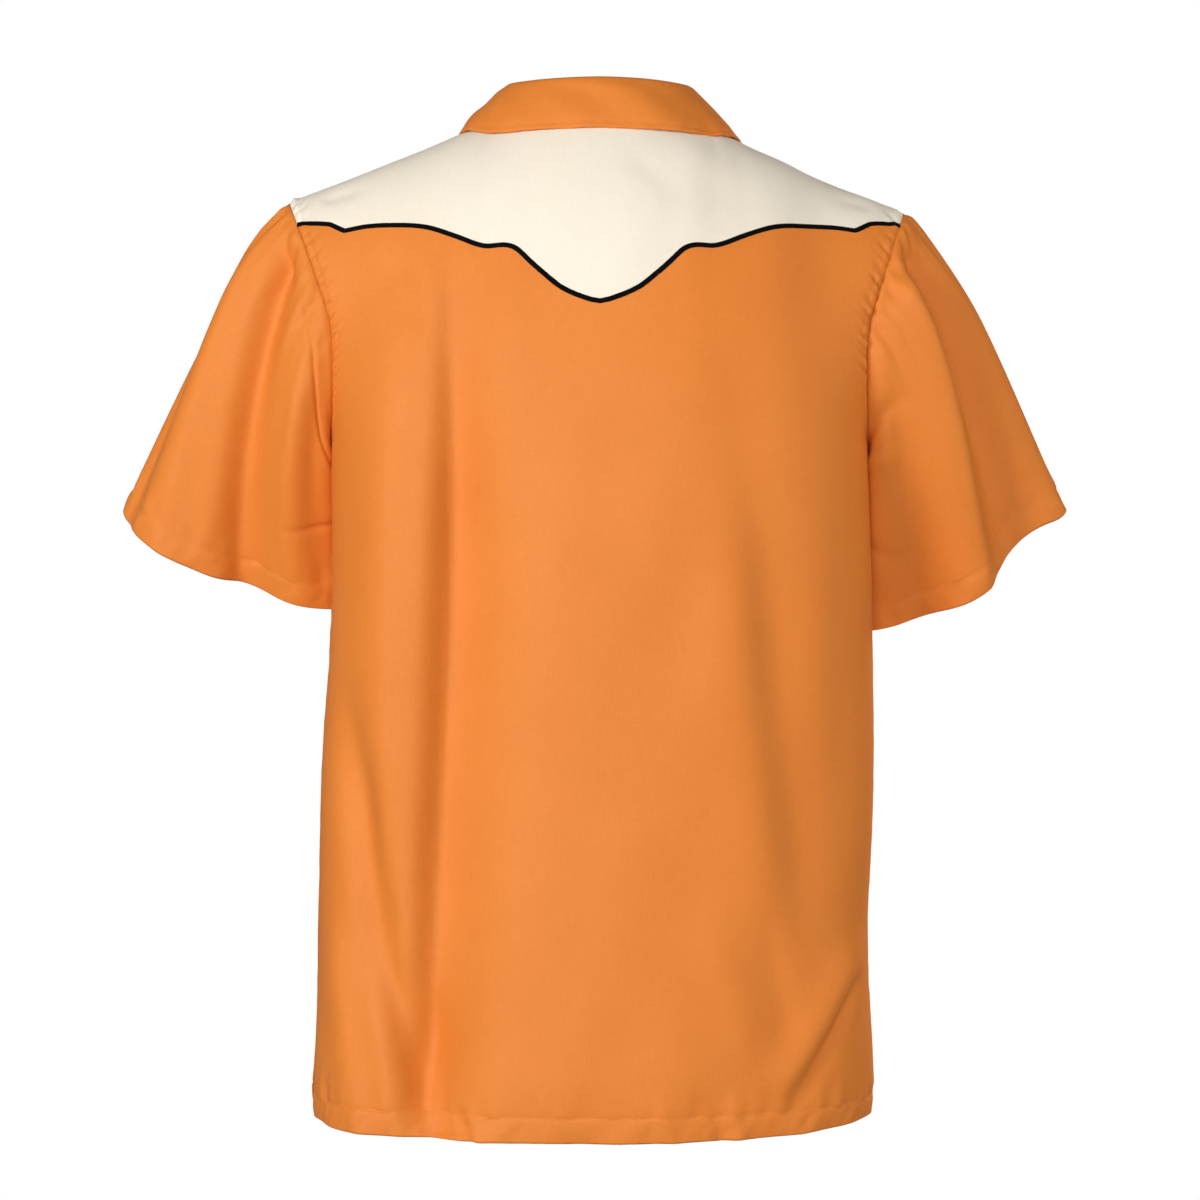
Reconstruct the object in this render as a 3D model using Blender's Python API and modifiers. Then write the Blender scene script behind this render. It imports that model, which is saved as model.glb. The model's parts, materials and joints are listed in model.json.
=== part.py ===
"""A short-sleeved camp shirt with a western back yoke, filled out as if worn, with no wearer.

Metres. +Z is up and the wearer faces -Y, so the wearer's left is +X. The origin lies midway
between the neck points, at the level of the shoulders that hold the shirt up.

Every panel is a wall round the middle surface that trunk() and sleeve() work out. A place on
the trunk is given by across (-1 to 1 from the right side seam to the left one), rise (-1 at
the hem, 0 at the armpits, 1 at the neck and shoulder seams) and face (1 back, -1 front).
A place on a sleeve is given by around (degrees, 0 at the shoulder point, 90 at the back, 180
at the armpit) and along (0 at the armhole, 1 at the hem).
"""

import math
from collections import namedtuple

import bmesh
import bpy
from mathutils import Vector
from mathutils.bvhtree import BVHTree

BACK = 1
FRONT = -1
LEFT = 1
RIGHT = -1

# Cloth
WALL = 0.0015
SEAM_GAP = 0.0003
LAYER_GAP = 0.0009
FRONT_GAP = 0.0010
NECK_SET_BACK = 0.0009
ROLL_SET_BACK = 0.0017
PIPING_WALL = 0.0010
PIPING_WIDTH = 0.0028
PIPING_SET_BACK = 0.0018
YOKE_SEAM_SET_BACK = 0.0002
SHARPEST_SEAM = math.radians(35)

# Trunk
HEM_HEIGHT = -0.732
ARMPIT_HEIGHT = -0.235
SQUARENESS = 2.4
Ring = namedtuple("Ring", "height left right back front")
TRUNK = [
    Ring(-0.732, 0.2080, 0.1980, 0.126, 0.128),
    Ring(-0.700, 0.2085, 0.2000, 0.126, 0.127),
    Ring(-0.640, 0.2065, 0.1975, 0.125, 0.126),
    Ring(-0.570, 0.2055, 0.1947, 0.124, 0.125),
    Ring(-0.460, 0.2025, 0.1965, 0.123, 0.124),
    Ring(-0.370, 0.1975, 0.1975, 0.124, 0.123),
    Ring(-0.235, 0.1965, 0.1965, 0.125, 0.120),
]

# Neck and shoulders: the yoke runs forward over the ridge from neck point to shoulder point
NECK_BACK = Vector((0, 0.060, 0.000))
NECK_FRONT = Vector((0, -0.084, -0.066))
NECK_ANGLE = math.radians(30)
NECK_ENDS_AT = 0.70
SHOULDER_ENDS_AT = 0.87
SHOULDER_BEND_STARTS = 0.3
YOKE_FORWARD = 0.024
YOKE_INWARD = 0.0015
YOKE_DROP = 0.007
Shoulder = namedtuple("Shoulder", "neck_x neck_z point_x point_z sag")
SHOULDERS = {
    LEFT: Shoulder(0.078, 0.001, 0.229, -0.057, 0.0010),
    RIGHT: Shoulder(0.078, -0.002, 0.2235, -0.0645, 0.0035),
}

# Armholes, read by the share of their height
ARMHOLE_DEPTH = 0.052
ARMHOLE_NARROWING = math.radians(21)
ARMHOLE_MIDDLE = Vector((0.2, 0, -0.148))
ARMHOLE_FLARE = 5
YOKE_SEAM_ANGLE = math.radians(155)
FRONT_SCOOP = 0.006
Armhole = namedtuple("Armhole", "share across")
ARMHOLE = [
    Armhole(0.00, 0.1965),
    Armhole(0.13, 0.1945),
    Armhole(0.42, 0.1945),
    Armhole(0.52, 0.1975),
    Armhole(0.70, 0.2080),
    Armhole(0.88, 0.2200),
    Armhole(1.00, 0.2290),
]

# The yoke's lower edge, seen from behind, for both sides
LinePoint = namedtuple("LinePoint", "across height")
YOKE_LINE = [
    LinePoint(0.0000, -0.1394),
    LinePoint(0.0110, -0.1366),
    LinePoint(0.0283, -0.1286),
    LinePoint(0.0400, -0.1190),
    LinePoint(0.0500, -0.1100),
    LinePoint(0.0592, -0.1012),
    LinePoint(0.0650, -0.0986),
    LinePoint(0.0825, -0.0980),
    LinePoint(0.1040, -0.0900),
    LinePoint(0.1250, -0.0832),
    LinePoint(0.1480, -0.0806),
    LinePoint(0.1690, -0.0804),
    LinePoint(0.1850, -0.0828),
    LinePoint(0.1960, -0.0775),
    LinePoint(0.2080, -0.0755),
]

# Front opening, lapels and buttons: the left front laps over the right one
OVERLAP_ACROSS = 0.037
UNDERLAP_ENDS = 0.024
UNDERLAP_STARTS = 0.048
BREAK_HEIGHT = -0.150
ROLL_BOW = 0.003
ROLL_TURN = 0.0016
ROLL_LIFT = 0.0009
Lapel = namedtuple("Lapel", "share width slope notch")
LAPEL = [
    Lapel(0.00, 0.006, 0.55, 0.000),
    Lapel(0.30, 0.024, 0.55, 0.000),
    Lapel(0.60, 0.038, 0.52, 0.000),
    Lapel(0.85, 0.047, 0.40, 0.008),
    Lapel(1.00, 0.049, 0.20, 0.030),
]
LAPEL_STARTS = {LEFT: 0.03, RIGHT: 0.36}
LAPEL_ENDS = 0.985
NOTCH_STARTS = 0.38
BUTTON_COUNT = 5
TOP_BUTTON_HEIGHT = -0.166
BUTTON_SPACING = 0.100
BUTTON_ACROSS = 0.001
BUTTON_GAP = 0.0004
BUTTON_SIDES = 20
ButtonPoint = namedtuple("ButtonPoint", "radius height")
BUTTON_PROFILE = [
    ButtonPoint(0.0000, 0.0018),
    ButtonPoint(0.0037, 0.0018),
    ButtonPoint(0.0043, 0.0024),
    ButtonPoint(0.0051, 0.0024),
    ButtonPoint(0.0055, 0.0015),
    ButtonPoint(0.0055, 0.0010),
    ButtonPoint(0.0047, 0.0000),
    ButtonPoint(0.0000, 0.0000),
]
THREAD_HOLES = 4
THREAD_HOLE_RADIUS = 0.0008
THREAD_HOLE_OFFSET = 0.0013
THREAD_HOLE_SIDES = 8
DRILL_LENGTH = 0.010

# Collar, read by the share of the way from the centre back to the lapel
CollarSection = namedtuple("CollarSection", "share rise lean reach drop swing")
COLLAR = [
    CollarSection(0.00, 0.0285, 0.0060, 0.0180, 0.0385, 0.00),
    CollarSection(0.30, 0.0283, 0.0095, 0.0270, 0.0370, 0.00),
    CollarSection(0.575, 0.0283, 0.0115, 0.0410, 0.0325, 0.00),
    CollarSection(0.72, 0.0215, 0.0110, 0.0500, 0.0290, 0.10),
    CollarSection(0.88, 0.0120, 0.0040, 0.0520, 0.0200, 0.45),
    CollarSection(1.00, 0.0070, 0.0000, 0.0540, 0.0130, 0.75),
]
BODY_MIDDLE = Vector((0, -0.01, -0.12))
NECK_POINT_SHARE = 0.575
YOKE_SEAM_SHARE = 0.70
NECKLINE_ENDS_AT = math.radians(17)
COLLAR_SEAM_LIFT = 0.0016
COLLAR_LIFT = 0.0032
COLLAR_FOLD_RADIUS = 0.0026
COLLAR_FOLD_MOST = 0.4
CollarTurn = namedtuple("CollarTurn", "outward downward")
COLLAR_TURN_INSIDE = CollarTurn(-0.4, 1.0)
COLLAR_TURN_OUTSIDE = CollarTurn(1.6, 0.8)
FALL_SHARES = (0.33, 0.67)
FALL_BOW = 0.002

# Sleeves: how the cloth leaves the armhole and arrives at the hem, on the left side
Flow = namedtuple("Flow", "leaving arriving")
SLEEVE_FLOW = {
    "top": Flow(Vector((0.140, 0.000, -0.140)), Vector((0.115, -0.050, -0.225))),
    "back": Flow(Vector((0.095, 0.012, -0.085)), Vector((0.070, -0.055, -0.190))),
    "pit": Flow(Vector((0.045, -0.010, -0.030)), Vector((-0.015, -0.030, -0.100))),
    "front": Flow(Vector((0.095, -0.020, -0.060)), Vector((0.070, -0.045, -0.170))),
}
SleeveHem = namedtuple("SleeveHem", "outer inner depth tilt wave")
SLEEVE_HEMS = {
    LEFT: SleeveHem(
        Vector((0.3605, -0.045, -0.2850)), Vector((0.188, -0.060, -0.345)), 0.049, 0.56, 0.003
    ),
    RIGHT: SleeveHem(
        Vector((0.3475, -0.045, -0.2835)), Vector((0.189, -0.058, -0.361)), 0.049, 0.75, 0.014
    ),
}
HEM_WAVE_AROUND = math.radians(42)
HEM_WAVE_HALF_WIDTH = math.radians(24)

# The largest folds: where each starts and ends, its half width, and its height or depth
Fold = namedtuple("Fold", "top_x top_z foot_x foot_z half_width height")
BACK_FOLDS = [
    Fold(0.158, -0.150, 0.168, -0.480, 0.026, 0.0045),
    Fold(0.112, -0.180, 0.138, -0.760, 0.021, -0.0090),
    Fold(0.060, -0.150, 0.045, -0.760, 0.040, 0.0045),
    Fold(-0.116, -0.280, -0.128, -0.740, 0.026, -0.0070),
    Fold(-0.172, -0.260, -0.176, -0.740, 0.018, 0.0040),
    Fold(-0.190, -0.610, -0.100, -0.730, 0.014, -0.0040),
    Fold(0.082, -0.640, 0.090, -0.790, 0.016, 0.0040),
]
FRONT_FOLDS = [
    Fold(0.140, -0.130, 0.130, -0.760, 0.026, -0.0070),
    Fold(0.085, -0.220, 0.082, -0.760, 0.024, 0.0050),
    Fold(-0.138, -0.150, -0.142, -0.760, 0.024, -0.0075),
    Fold(-0.092, -0.250, -0.080, -0.760, 0.026, 0.0050),
]
FOLD_FADES_IN = 0.35
FOLD_FADES_OUT = 0.12
SEAM_FADE = 0.14
SleeveFold = namedtuple(
    "SleeveFold", "start_around start_along end_around end_along half_width height"
)
SLEEVE_FOLDS = {
    LEFT: [
        SleeveFold(32, -0.2, 98, 1.3, 13, -0.0075),
        SleeveFold(75, 0.1, 124, 1.3, 14, 0.0050),
        SleeveFold(-40, 0.0, -75, 1.3, 18, -0.0060),
    ],
    RIGHT: [
        SleeveFold(48, 0.1, 72, 1.3, 13, -0.0080),
        SleeveFold(70, 0.1, 108, 1.3, 15, 0.0060),
        SleeveFold(-45, 0.0, -80, 1.3, 18, -0.0060),
    ],
}

# Grids
BACK_ROWS_BELOW = 12
FRONT_ROWS_BELOW = 11
RISES_ABOVE = [0.045, 0.165, 0.345, 0.565, 0.775, 1.0]
YOKE_RISES = [0.0, 0.14, 0.30, 0.47, 0.64, 0.82, 1.0]
FRONT_RISES_ABOVE = [0.035, 0.130, 0.270, 0.440, 0.620, 0.800, 1.0]
FRONT_COLUMNS = [-OVERLAP_ACROSS, 0.0, 0.05, 0.095, 0.14, 17 / 90, 0.235, 0.28, 1 / 3]
FRONT_COLUMNS += [0.42, 0.52, 0.62, 0.72, 0.82, 0.91, 1.0]
SLEEVE_ROWS = [0.0, 0.045, 0.13, 0.25, 0.38, 0.51, 0.64, 0.77, 0.89, 1.0]
LAPEL_COLUMNS = [0.0, 0.19, NOTCH_STARTS, 0.58, 0.79, 1.0]
LAPEL_ROWS = 9

# Side vents and hem
VENT_HEIGHT = 0.085
VENT_SPREAD = 0.0040
HALF_BACK = 0.300
HEM_CORNER_WIDTH = 0.012
HEM_CORNER_RISE = 0.0084
HEM_RISE = {LEFT: 0.003, RIGHT: 0.009}
HEM_RISE_CURVE = 1.5

# Small steps along the surfaces, for their slopes
TRUNK_STEP = 0.004
SLEEVE_STEP = 0.01
HOLE_STEP = 0.02
POLE_CLEARANCE = 0.05
JUST_INSIDE = 0.97
PLACE_STEP = 1e-4
PLACE_ROUNDS = 12
ROUNDING = 1e-9

ORANGE = (0.855, 0.275, 0.055)
CREAM = (0.905, 0.815, 0.690)
BLACK = (0.006, 0.006, 0.007)
BUTTON_COLOUR = (0.62, 0.20, 0.05)
CLOTH_ROUGHNESS = 0.82
BUTTON_ROUGHNESS = 0.35


# ---------------------------------------------------------------- reading the tables


def read(table, column, at):
    """One column of a table at a place between its rows, along a smooth curve."""
    keys = [row[0] for row in table]
    values = [getattr(row, column) for row in table]
    last = len(keys) - 1
    at = min(max(at, keys[0]), keys[last])
    i = 0
    while i < last - 1 and at > keys[i + 1]:
        i += 1

    def slope(k):
        low = max(k - 1, 0)
        high = min(k + 1, last)
        return (values[high] - values[low]) / (keys[high] - keys[low])

    span = keys[i + 1] - keys[i]
    t = (at - keys[i]) / span
    return (
        (1 + 2 * t) * (1 - t) ** 2 * values[i]
        + t * (1 - t) ** 2 * span * slope(i)
        + t * t * (3 - 2 * t) * values[i + 1]
        + t * t * (t - 1) * span * slope(i + 1)
    )


def ease(t):
    t = min(max(t, 0.0), 1.0)
    return t * t * (3 - 2 * t)


def spaced(start, end, steps):
    """Evenly spaced values from start to end."""
    return [start + (end - start) * i / steps for i in range(steps + 1)]


def solve(value, low, high):
    """The place between low and high where a steadily growing value passes zero."""
    for _ in range(36):
        middle = (low + high) / 2
        if value(middle) < 0:
            low = middle
        else:
            high = middle
    return (low + high) / 2


# ---------------------------------------------------------------- the trunk's surface


def ring(height, angle, face):
    """A level section of the trunk: angle 0 is the centre, a quarter turn is a side seam."""
    width = read(TRUNK, "left" if angle > 0 else "right", height)
    depth = read(TRUNK, "back" if face == BACK else "front", height)
    power = 2 / SQUARENESS
    across = math.copysign(width * abs(math.sin(angle)) ** power, angle)
    out = depth * max(math.cos(angle), 0.0) ** power
    return Vector((across, face * out, height))


def shoulder_ridge(side, share):
    """The top of the shoulder, from the neck point to the shoulder point."""
    s = SHOULDERS[side]
    across = s.neck_x + (s.point_x - s.neck_x) * share
    sag = s.sag * math.sin(math.pi * share)
    return Vector((side * across, 0, s.neck_z + (s.point_z - s.neck_z) * share - sag))


def armhole_height_share(hole_angle):
    return (1 - math.cos(hole_angle)) / 2


def armhole(side, face, hole_angle):
    """The armhole's edge: angle 0 is the armpit, a half turn is the shoulder point."""
    share = armhole_height_share(hole_angle)
    tip = shoulder_ridge(side, 1)
    narrower = (SHOULDERS[LEFT].point_x - abs(tip.x)) * share**3
    across = read(ARMHOLE, "across", share) - narrower
    if face == FRONT:
        across -= FRONT_SCOOP * math.sin(hole_angle)
    out = ARMHOLE_DEPTH * math.sin(hole_angle)
    height = ARMPIT_HEIGHT + (tip.z - ARMPIT_HEIGHT) * share
    return Vector((side * across, face * out, height))


def yoke_front_seam(side, share):
    """The seam of the yoke with a front, from the neckline to the armhole."""
    ridge = shoulder_ridge(side, share)
    tip = shoulder_ridge(side, 1)
    end = armhole(side, FRONT, YOKE_SEAM_ANGLE)
    at_neck = Vector((YOKE_INWARD, YOKE_FORWARD, YOKE_DROP))
    at_tip = Vector((abs(tip.x) - abs(end.x), abs(end.y), tip.z - end.z))
    inward, forward, drop = at_neck.lerp(at_tip, share)
    return ridge - Vector((side * inward, forward, drop))


def crown(angle, face):
    """The trunk's top edge: the neckline, then the seam or ridge along the shoulder."""
    side = LEFT if angle >= 0 else RIGHT
    turned = abs(angle)
    if turned >= NECK_ANGLE:
        share = (turned - NECK_ANGLE) / (math.pi / 2 - NECK_ANGLE)
        return shoulder_ridge(side, share) if face == BACK else yoke_front_seam(side, share)
    quarter = turned / NECK_ANGLE * math.pi / 2
    centre = NECK_BACK if face == BACK else NECK_FRONT
    end = shoulder_ridge(side, 0) if face == BACK else yoke_front_seam(side, 0)
    share = math.cos(quarter)
    across = end.x * math.sin(quarter)
    return Vector((across, end.y + (centre.y - end.y) * share, end.z + (centre.z - end.z) * share))


def dome(angle, rise, face):
    """The trunk above the armpits: it rises upright and bends over towards the crown."""
    foot = ring(ARMPIT_HEIGHT, angle, face)
    top = crown(angle, face)
    shoulder_end = 1.0 if face == BACK else SHOULDER_ENDS_AT
    bend = ease(abs(angle) / NECK_ANGLE - SHOULDER_BEND_STARTS)
    end = math.pi / 2 * (NECK_ENDS_AT + (shoulder_end - NECK_ENDS_AT) * bend)
    level = (math.cos(end * rise) - math.cos(end)) / (1 - math.cos(end))
    lift = math.sin(end * rise) / math.sin(end)
    point = top.lerp(foot, level)
    point.z = foot.z + (top.z - foot.z) * lift
    return point


def hole_angle_at(rise, face):
    """The armhole's angle that a row of the trunk runs out to."""
    end = math.pi / 2 * (1.0 if face == BACK else SHOULDER_ENDS_AT)
    top_share = 1.0 if face == BACK else armhole_height_share(YOKE_SEAM_ANGLE)
    share = math.sin(end * rise) / math.sin(end) * top_share
    return math.acos(min(max(1 - 2 * share, -1.0), 1.0))


def widest_angle(hole_angle, face):
    """The trunk angle at which the armhole's edge lies: a quarter turn at its two ends."""
    end = math.pi if face == BACK else YOKE_SEAM_ANGLE
    return math.pi / 2 - ARMHOLE_NARROWING * math.sin(math.pi * hole_angle / end)


def smooth_trunk(across, rise, face):
    """The trunk's middle surface before its folds."""
    if rise <= 0:
        height = ARMPIT_HEIGHT + rise * (ARMPIT_HEIGHT - HEM_HEIGHT)
        return ring(height, across * math.pi / 2, face)
    side = LEFT if across >= 0 else RIGHT
    hole_angle = hole_angle_at(rise, face)
    widest = widest_angle(hole_angle, face)
    point = dome(across * widest, rise, face)
    edge = armhole(side, face, hole_angle) - dome(side * widest, rise, face)
    return point + edge * abs(across) ** ARMHOLE_FLARE


def fold_height(folds, x, z):
    """How far the cloth stands out or in at a place, from the folds near it."""
    total = 0.0
    for fold in folds:
        length = fold.top_z - fold.foot_z
        down = (fold.top_z - z) / length
        if not 0 < down < 1:
            continue
        centre = fold.top_x + (fold.foot_x - fold.top_x) * down
        aside = (x - centre) / fold.half_width
        ends = ease(down / FOLD_FADES_IN) * ease((1 - down) / FOLD_FADES_OUT)
        total += fold.height * ends * math.exp(-aside * aside)
    return total


def trunk(across, rise, face, lift=0.0):
    """The trunk's middle surface with its folds; lift moves a point out from it."""
    point = smooth_trunk(across, rise, face)
    inner = min(abs(across), 1 - TRUNK_STEP) * (1 if across >= 0 else -1)
    low = min(rise, 1 - TRUNK_STEP)
    here = smooth_trunk(inner, low, face)
    along = smooth_trunk(inner + TRUNK_STEP, low, face) - here
    up = smooth_trunk(inner, low + TRUNK_STEP, face) - here
    normal = along.cross(up).normalized() * -face
    folds = BACK_FOLDS if face == BACK else FRONT_FOLDS
    seam_fade = ease((1 - abs(across)) / SEAM_FADE)
    return point + normal * (lift + fold_height(folds, point.x, point.z) * seam_fade)


def rise_at_height(across, height, face):
    """The rise at which a column of the trunk reaches a height."""
    return solve(lambda rise: smooth_trunk(across, rise, face).z - height, -1, 1)


def place_on(x, height, face):
    """The across and rise of the place seen at x and a height from straight behind or ahead."""
    step = PLACE_STEP
    across = x / TRUNK[0].left * JUST_INSIDE
    rise = rise_at_height(across, height, face)
    for _ in range(PLACE_ROUNDS):
        here = smooth_trunk(across, rise, face)
        aside = (smooth_trunk(across + step, rise, face) - here) / step
        upward = (smooth_trunk(across, rise + step, face) - here) / step
        miss_x = x - here.x
        miss_z = height - here.z
        area = aside.x * upward.z - upward.x * aside.z
        across += (miss_x * upward.z - upward.x * miss_z) / area
        rise += (aside.x * miss_z - miss_x * aside.z) / area
        across = min(max(across, -1.0), 1.0 - step)
        rise = min(max(rise, -1.0), 1.0 - step)
    return across, rise


# ---------------------------------------------------------------- seams


def mitre(inward_a, inward_b):
    """How far two walls stop before the edge they share, by the angle between them."""
    between = inward_a.angle(inward_b)
    return SEAM_GAP / 2 + WALL / 2 / math.tan(max(between, SHARPEST_SEAM) / 2)


def draw_back(row, distance, end):
    """Moves the point at one end of a row towards its neighbour."""
    tip, neighbour = (0, 1) if end == 0 else (-1, -2)
    row[tip] = row[tip] + (row[neighbour] - row[tip]).normalized() * distance


def draw_back_row(rows, distance, end):
    """Moves the first or last row of a grid towards the next one."""
    tip, neighbour = (0, 1) if end == 0 else (-1, -2)
    rows[tip] = [
        p + (q - p).normalized() * distance for p, q in zip(rows[tip], rows[neighbour])
    ]


def armhole_mitre(side, face, hole_angle):
    """How far the trunk's edge and the sleeve's edge move at one place of the armhole."""
    edge = armhole(side, face, hole_angle)
    tangent = (armhole(side, face, hole_angle + HOLE_STEP) - edge).normalized()
    rise = min(max(rise_of_hole_angle(hole_angle, face), HOLE_STEP), 1 - HOLE_STEP)
    angle = side * widest_angle(hole_angle, face) * JUST_INSIDE
    inside = dome(angle, rise, face)
    aside = dome(angle + HOLE_STEP, rise, face) - inside
    upward = dome(angle, rise + HOLE_STEP / 2, face) - inside
    inward = tangent.cross(aside.cross(upward)).normalized()
    middle = Vector((side * ARMHOLE_MIDDLE.x, 0, ARMHOLE_MIDDLE.z))
    if inward.dot(edge - middle) < 0:
        inward = -inward
    leaving = sleeve(side, face, hole_angle, HOLE_STEP) - sleeve(side, face, hole_angle, 0)
    outward = (leaving - tangent * leaving.dot(tangent)).normalized()
    distance = mitre(inward, outward)
    return inward * distance, outward * distance


def rise_of_hole_angle(angle, face):
    return solve(lambda rise: hole_angle_at(rise, face) - angle, 0, 1)


# ---------------------------------------------------------------- the sleeves' surface


def sleeve_flow(side, face, hole_angle, end):
    """The direction in which a sleeve's cloth leaves the armhole or arrives at the hem."""
    top = getattr(SLEEVE_FLOW["top"], end)
    pit = getattr(SLEEVE_FLOW["pit"], end)
    middle = getattr(SLEEVE_FLOW["back" if face == BACK else "front"], end)
    upper = armhole_height_share(hole_angle)
    flow = top * upper + pit * (1 - upper) + (middle - (top + pit) / 2) * math.sin(hole_angle)
    return Vector((side * flow.x, flow.y, flow.z))


def sleeve_hem(side, face, hole_angle):
    """The hem's oval, leaning with the sleeve and lifted by a wave behind its outer end."""
    hem = SLEEVE_HEMS[side]
    centre = (hem.outer + hem.inner) / 2
    long_half = (hem.outer - hem.inner) / 2
    short_half = Vector((0, 1, -hem.tilt)).normalized() * hem.depth
    point = centre - long_half * math.cos(hole_angle) + short_half * face * math.sin(hole_angle)
    from_wave = (face * (math.pi - hole_angle) - HEM_WAVE_AROUND) / HEM_WAVE_HALF_WIDTH
    lift = hem.wave * math.exp(-from_wave * from_wave)
    return Vector((side * point.x, point.y, point.z + lift))


def smooth_sleeve(side, face, hole_angle, along):
    """A sleeve's middle surface before its folds: a loft from the armhole to the hem."""
    start = armhole(side, face, hole_angle)
    end = sleeve_hem(side, face, hole_angle)
    leaving = sleeve_flow(side, face, hole_angle, "leaving")
    arriving = sleeve_flow(side, face, hole_angle, "arriving")
    t = along
    return (
        start * ((1 + 2 * t) * (1 - t) ** 2)
        + leaving * (t * (1 - t) ** 2)
        + end * (t * t * (3 - 2 * t))
        + arriving * (t * t * (t - 1))
    )


def sleeve(side, face, hole_angle, along, lift=0.0):
    """A sleeve's middle surface with its folds; lift moves a point out from it."""
    point = smooth_sleeve(side, face, hole_angle, along)
    angle = min(max(hole_angle, POLE_CLEARANCE), math.pi - POLE_CLEARANCE)
    here = smooth_sleeve(side, face, angle, along)
    round_step = smooth_sleeve(side, face, angle + SLEEVE_STEP, along) - here
    down = smooth_sleeve(side, face, angle, along + SLEEVE_STEP) - here
    normal = round_step.cross(down).normalized() * face * -side
    around = 180 - math.degrees(hole_angle)
    around = around if face == BACK else -around
    height = 0.0
    for fold in SLEEVE_FOLDS[side]:
        share = (along - fold.start_along) / (fold.end_along - fold.start_along)
        if not 0 < share < 1:
            continue
        centre = fold.start_around + (fold.end_around - fold.start_around) * share
        aside = (around - centre) / fold.half_width
        height += fold.height * ease(share / FOLD_FADES_IN) * math.exp(-aside * aside)
    return point + normal * (lift + height * ease(along / SEAM_FADE))


# ---------------------------------------------------------------- meshes


def material(name, colour, roughness):
    made = bpy.data.materials.new(name)
    made.use_nodes = True
    shader = made.node_tree.nodes["Principled BSDF"]
    shader.inputs["Base Color"].default_value = (*colour, 1)
    shader.inputs["Roughness"].default_value = roughness
    shader.inputs["Metallic"].default_value = 0.0
    return made


def add_object(name, mesh, made_of):
    built = bpy.data.objects.new(name, mesh)
    built.data.materials.append(made_of)
    shirt.objects.link(built)
    return built


def wall(name, grids, made_of, closed=False, thickness=WALL):
    """A cloth wall: grids of points joined where they touch, then thickened both ways."""
    form = bmesh.new()
    for grid in grids:
        corners = [[form.verts.new(point) for point in row] for row in grid]
        for low, high in zip(corners, corners[1:]):
            pairs = list(zip(low, low[1:], high, high[1:]))
            if closed:
                pairs.append((low[-1], low[0], high[-1], high[0]))
            for a, b, c, d in pairs:
                form.faces.new((a, b, d, c))
    bmesh.ops.remove_doubles(form, verts=form.verts, dist=1e-6)
    bmesh.ops.recalc_face_normals(form, faces=form.faces)
    mesh = bpy.data.meshes.new(name)
    form.to_mesh(mesh)
    form.free()
    mesh.shade_smooth()
    built = add_object(name, mesh, made_of)
    solidify = built.modifiers.new("wall", "SOLIDIFY")
    solidify.thickness = thickness
    solidify.offset = 0.0
    return built


# ---------------------------------------------------------------- back and yoke


def yoke_columns():
    """The across of each column of the back and yoke: one at each point of the yoke line."""
    places = [place_on(point.across, point.height, BACK)[0] for point in YOKE_LINE]
    neck_point = NECK_ANGLE / (math.pi / 2)
    nearest = min(range(len(places)), key=lambda i: abs(places[i] - neck_point))
    places[nearest] = neck_point
    half = places + [(places[-1] + 1) / 2, 1.0]
    return [-across for across in reversed(half[1:])] + half


def yoke_line_height(x):
    """The height of the yoke line at a distance from the centre back, straight between points."""
    for p, q in zip(YOKE_LINE, YOKE_LINE[1:]):
        if x <= q.across:
            return p.height + (q.height - p.height) * (x - p.across) / (q.across - p.across)
    return YOKE_LINE[-1].height


def yoke_line_rise(across):
    """The rise at which a column crosses the yoke line."""

    def above(rise):
        point = smooth_trunk(across, rise, BACK)
        return point.z - yoke_line_height(abs(point.x))

    return solve(above, 0, 1)


def edge_rises(line_rise):
    below = [-1 + row / BACK_ROWS_BELOW for row in range(BACK_ROWS_BELOW + 1)]
    return below + [line_rise * share for share in RISES_ABOVE]


def back_hem_lift(across):
    """The back's hem rises a little to the sides, and its corners are cut round at the vents."""
    side = LEFT if across >= 0 else RIGHT
    from_corner = (1 - abs(across)) * HALF_BACK / HEM_CORNER_WIDTH
    corner = HEM_CORNER_RISE * max(0.0, 1 - from_corner) ** 2
    return corner + HEM_RISE[side] * abs(across) ** HEM_RISE_CURVE


def vent_gap(rise):
    """Half of the gap between back and front at a side: a seam, then the open vent."""
    above_hem = (rise + 1) * (ARMPIT_HEIGHT - HEM_HEIGHT)
    if above_hem >= VENT_HEIGHT:
        return SEAM_GAP / 2
    return SEAM_GAP / 2 + VENT_SPREAD * (1 - above_hem / VENT_HEIGHT)


def trim_side(row, end, side, face, rise):
    """Moves a row's end off its side seam, or off the armhole above the armpit."""
    if rise <= 0:
        draw_back(row, vent_gap(rise), end)
    if rise >= 0:
        row[end] = row[end] + armhole_mitre(side, face, hole_angle_at(rise, face))[0]


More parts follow.
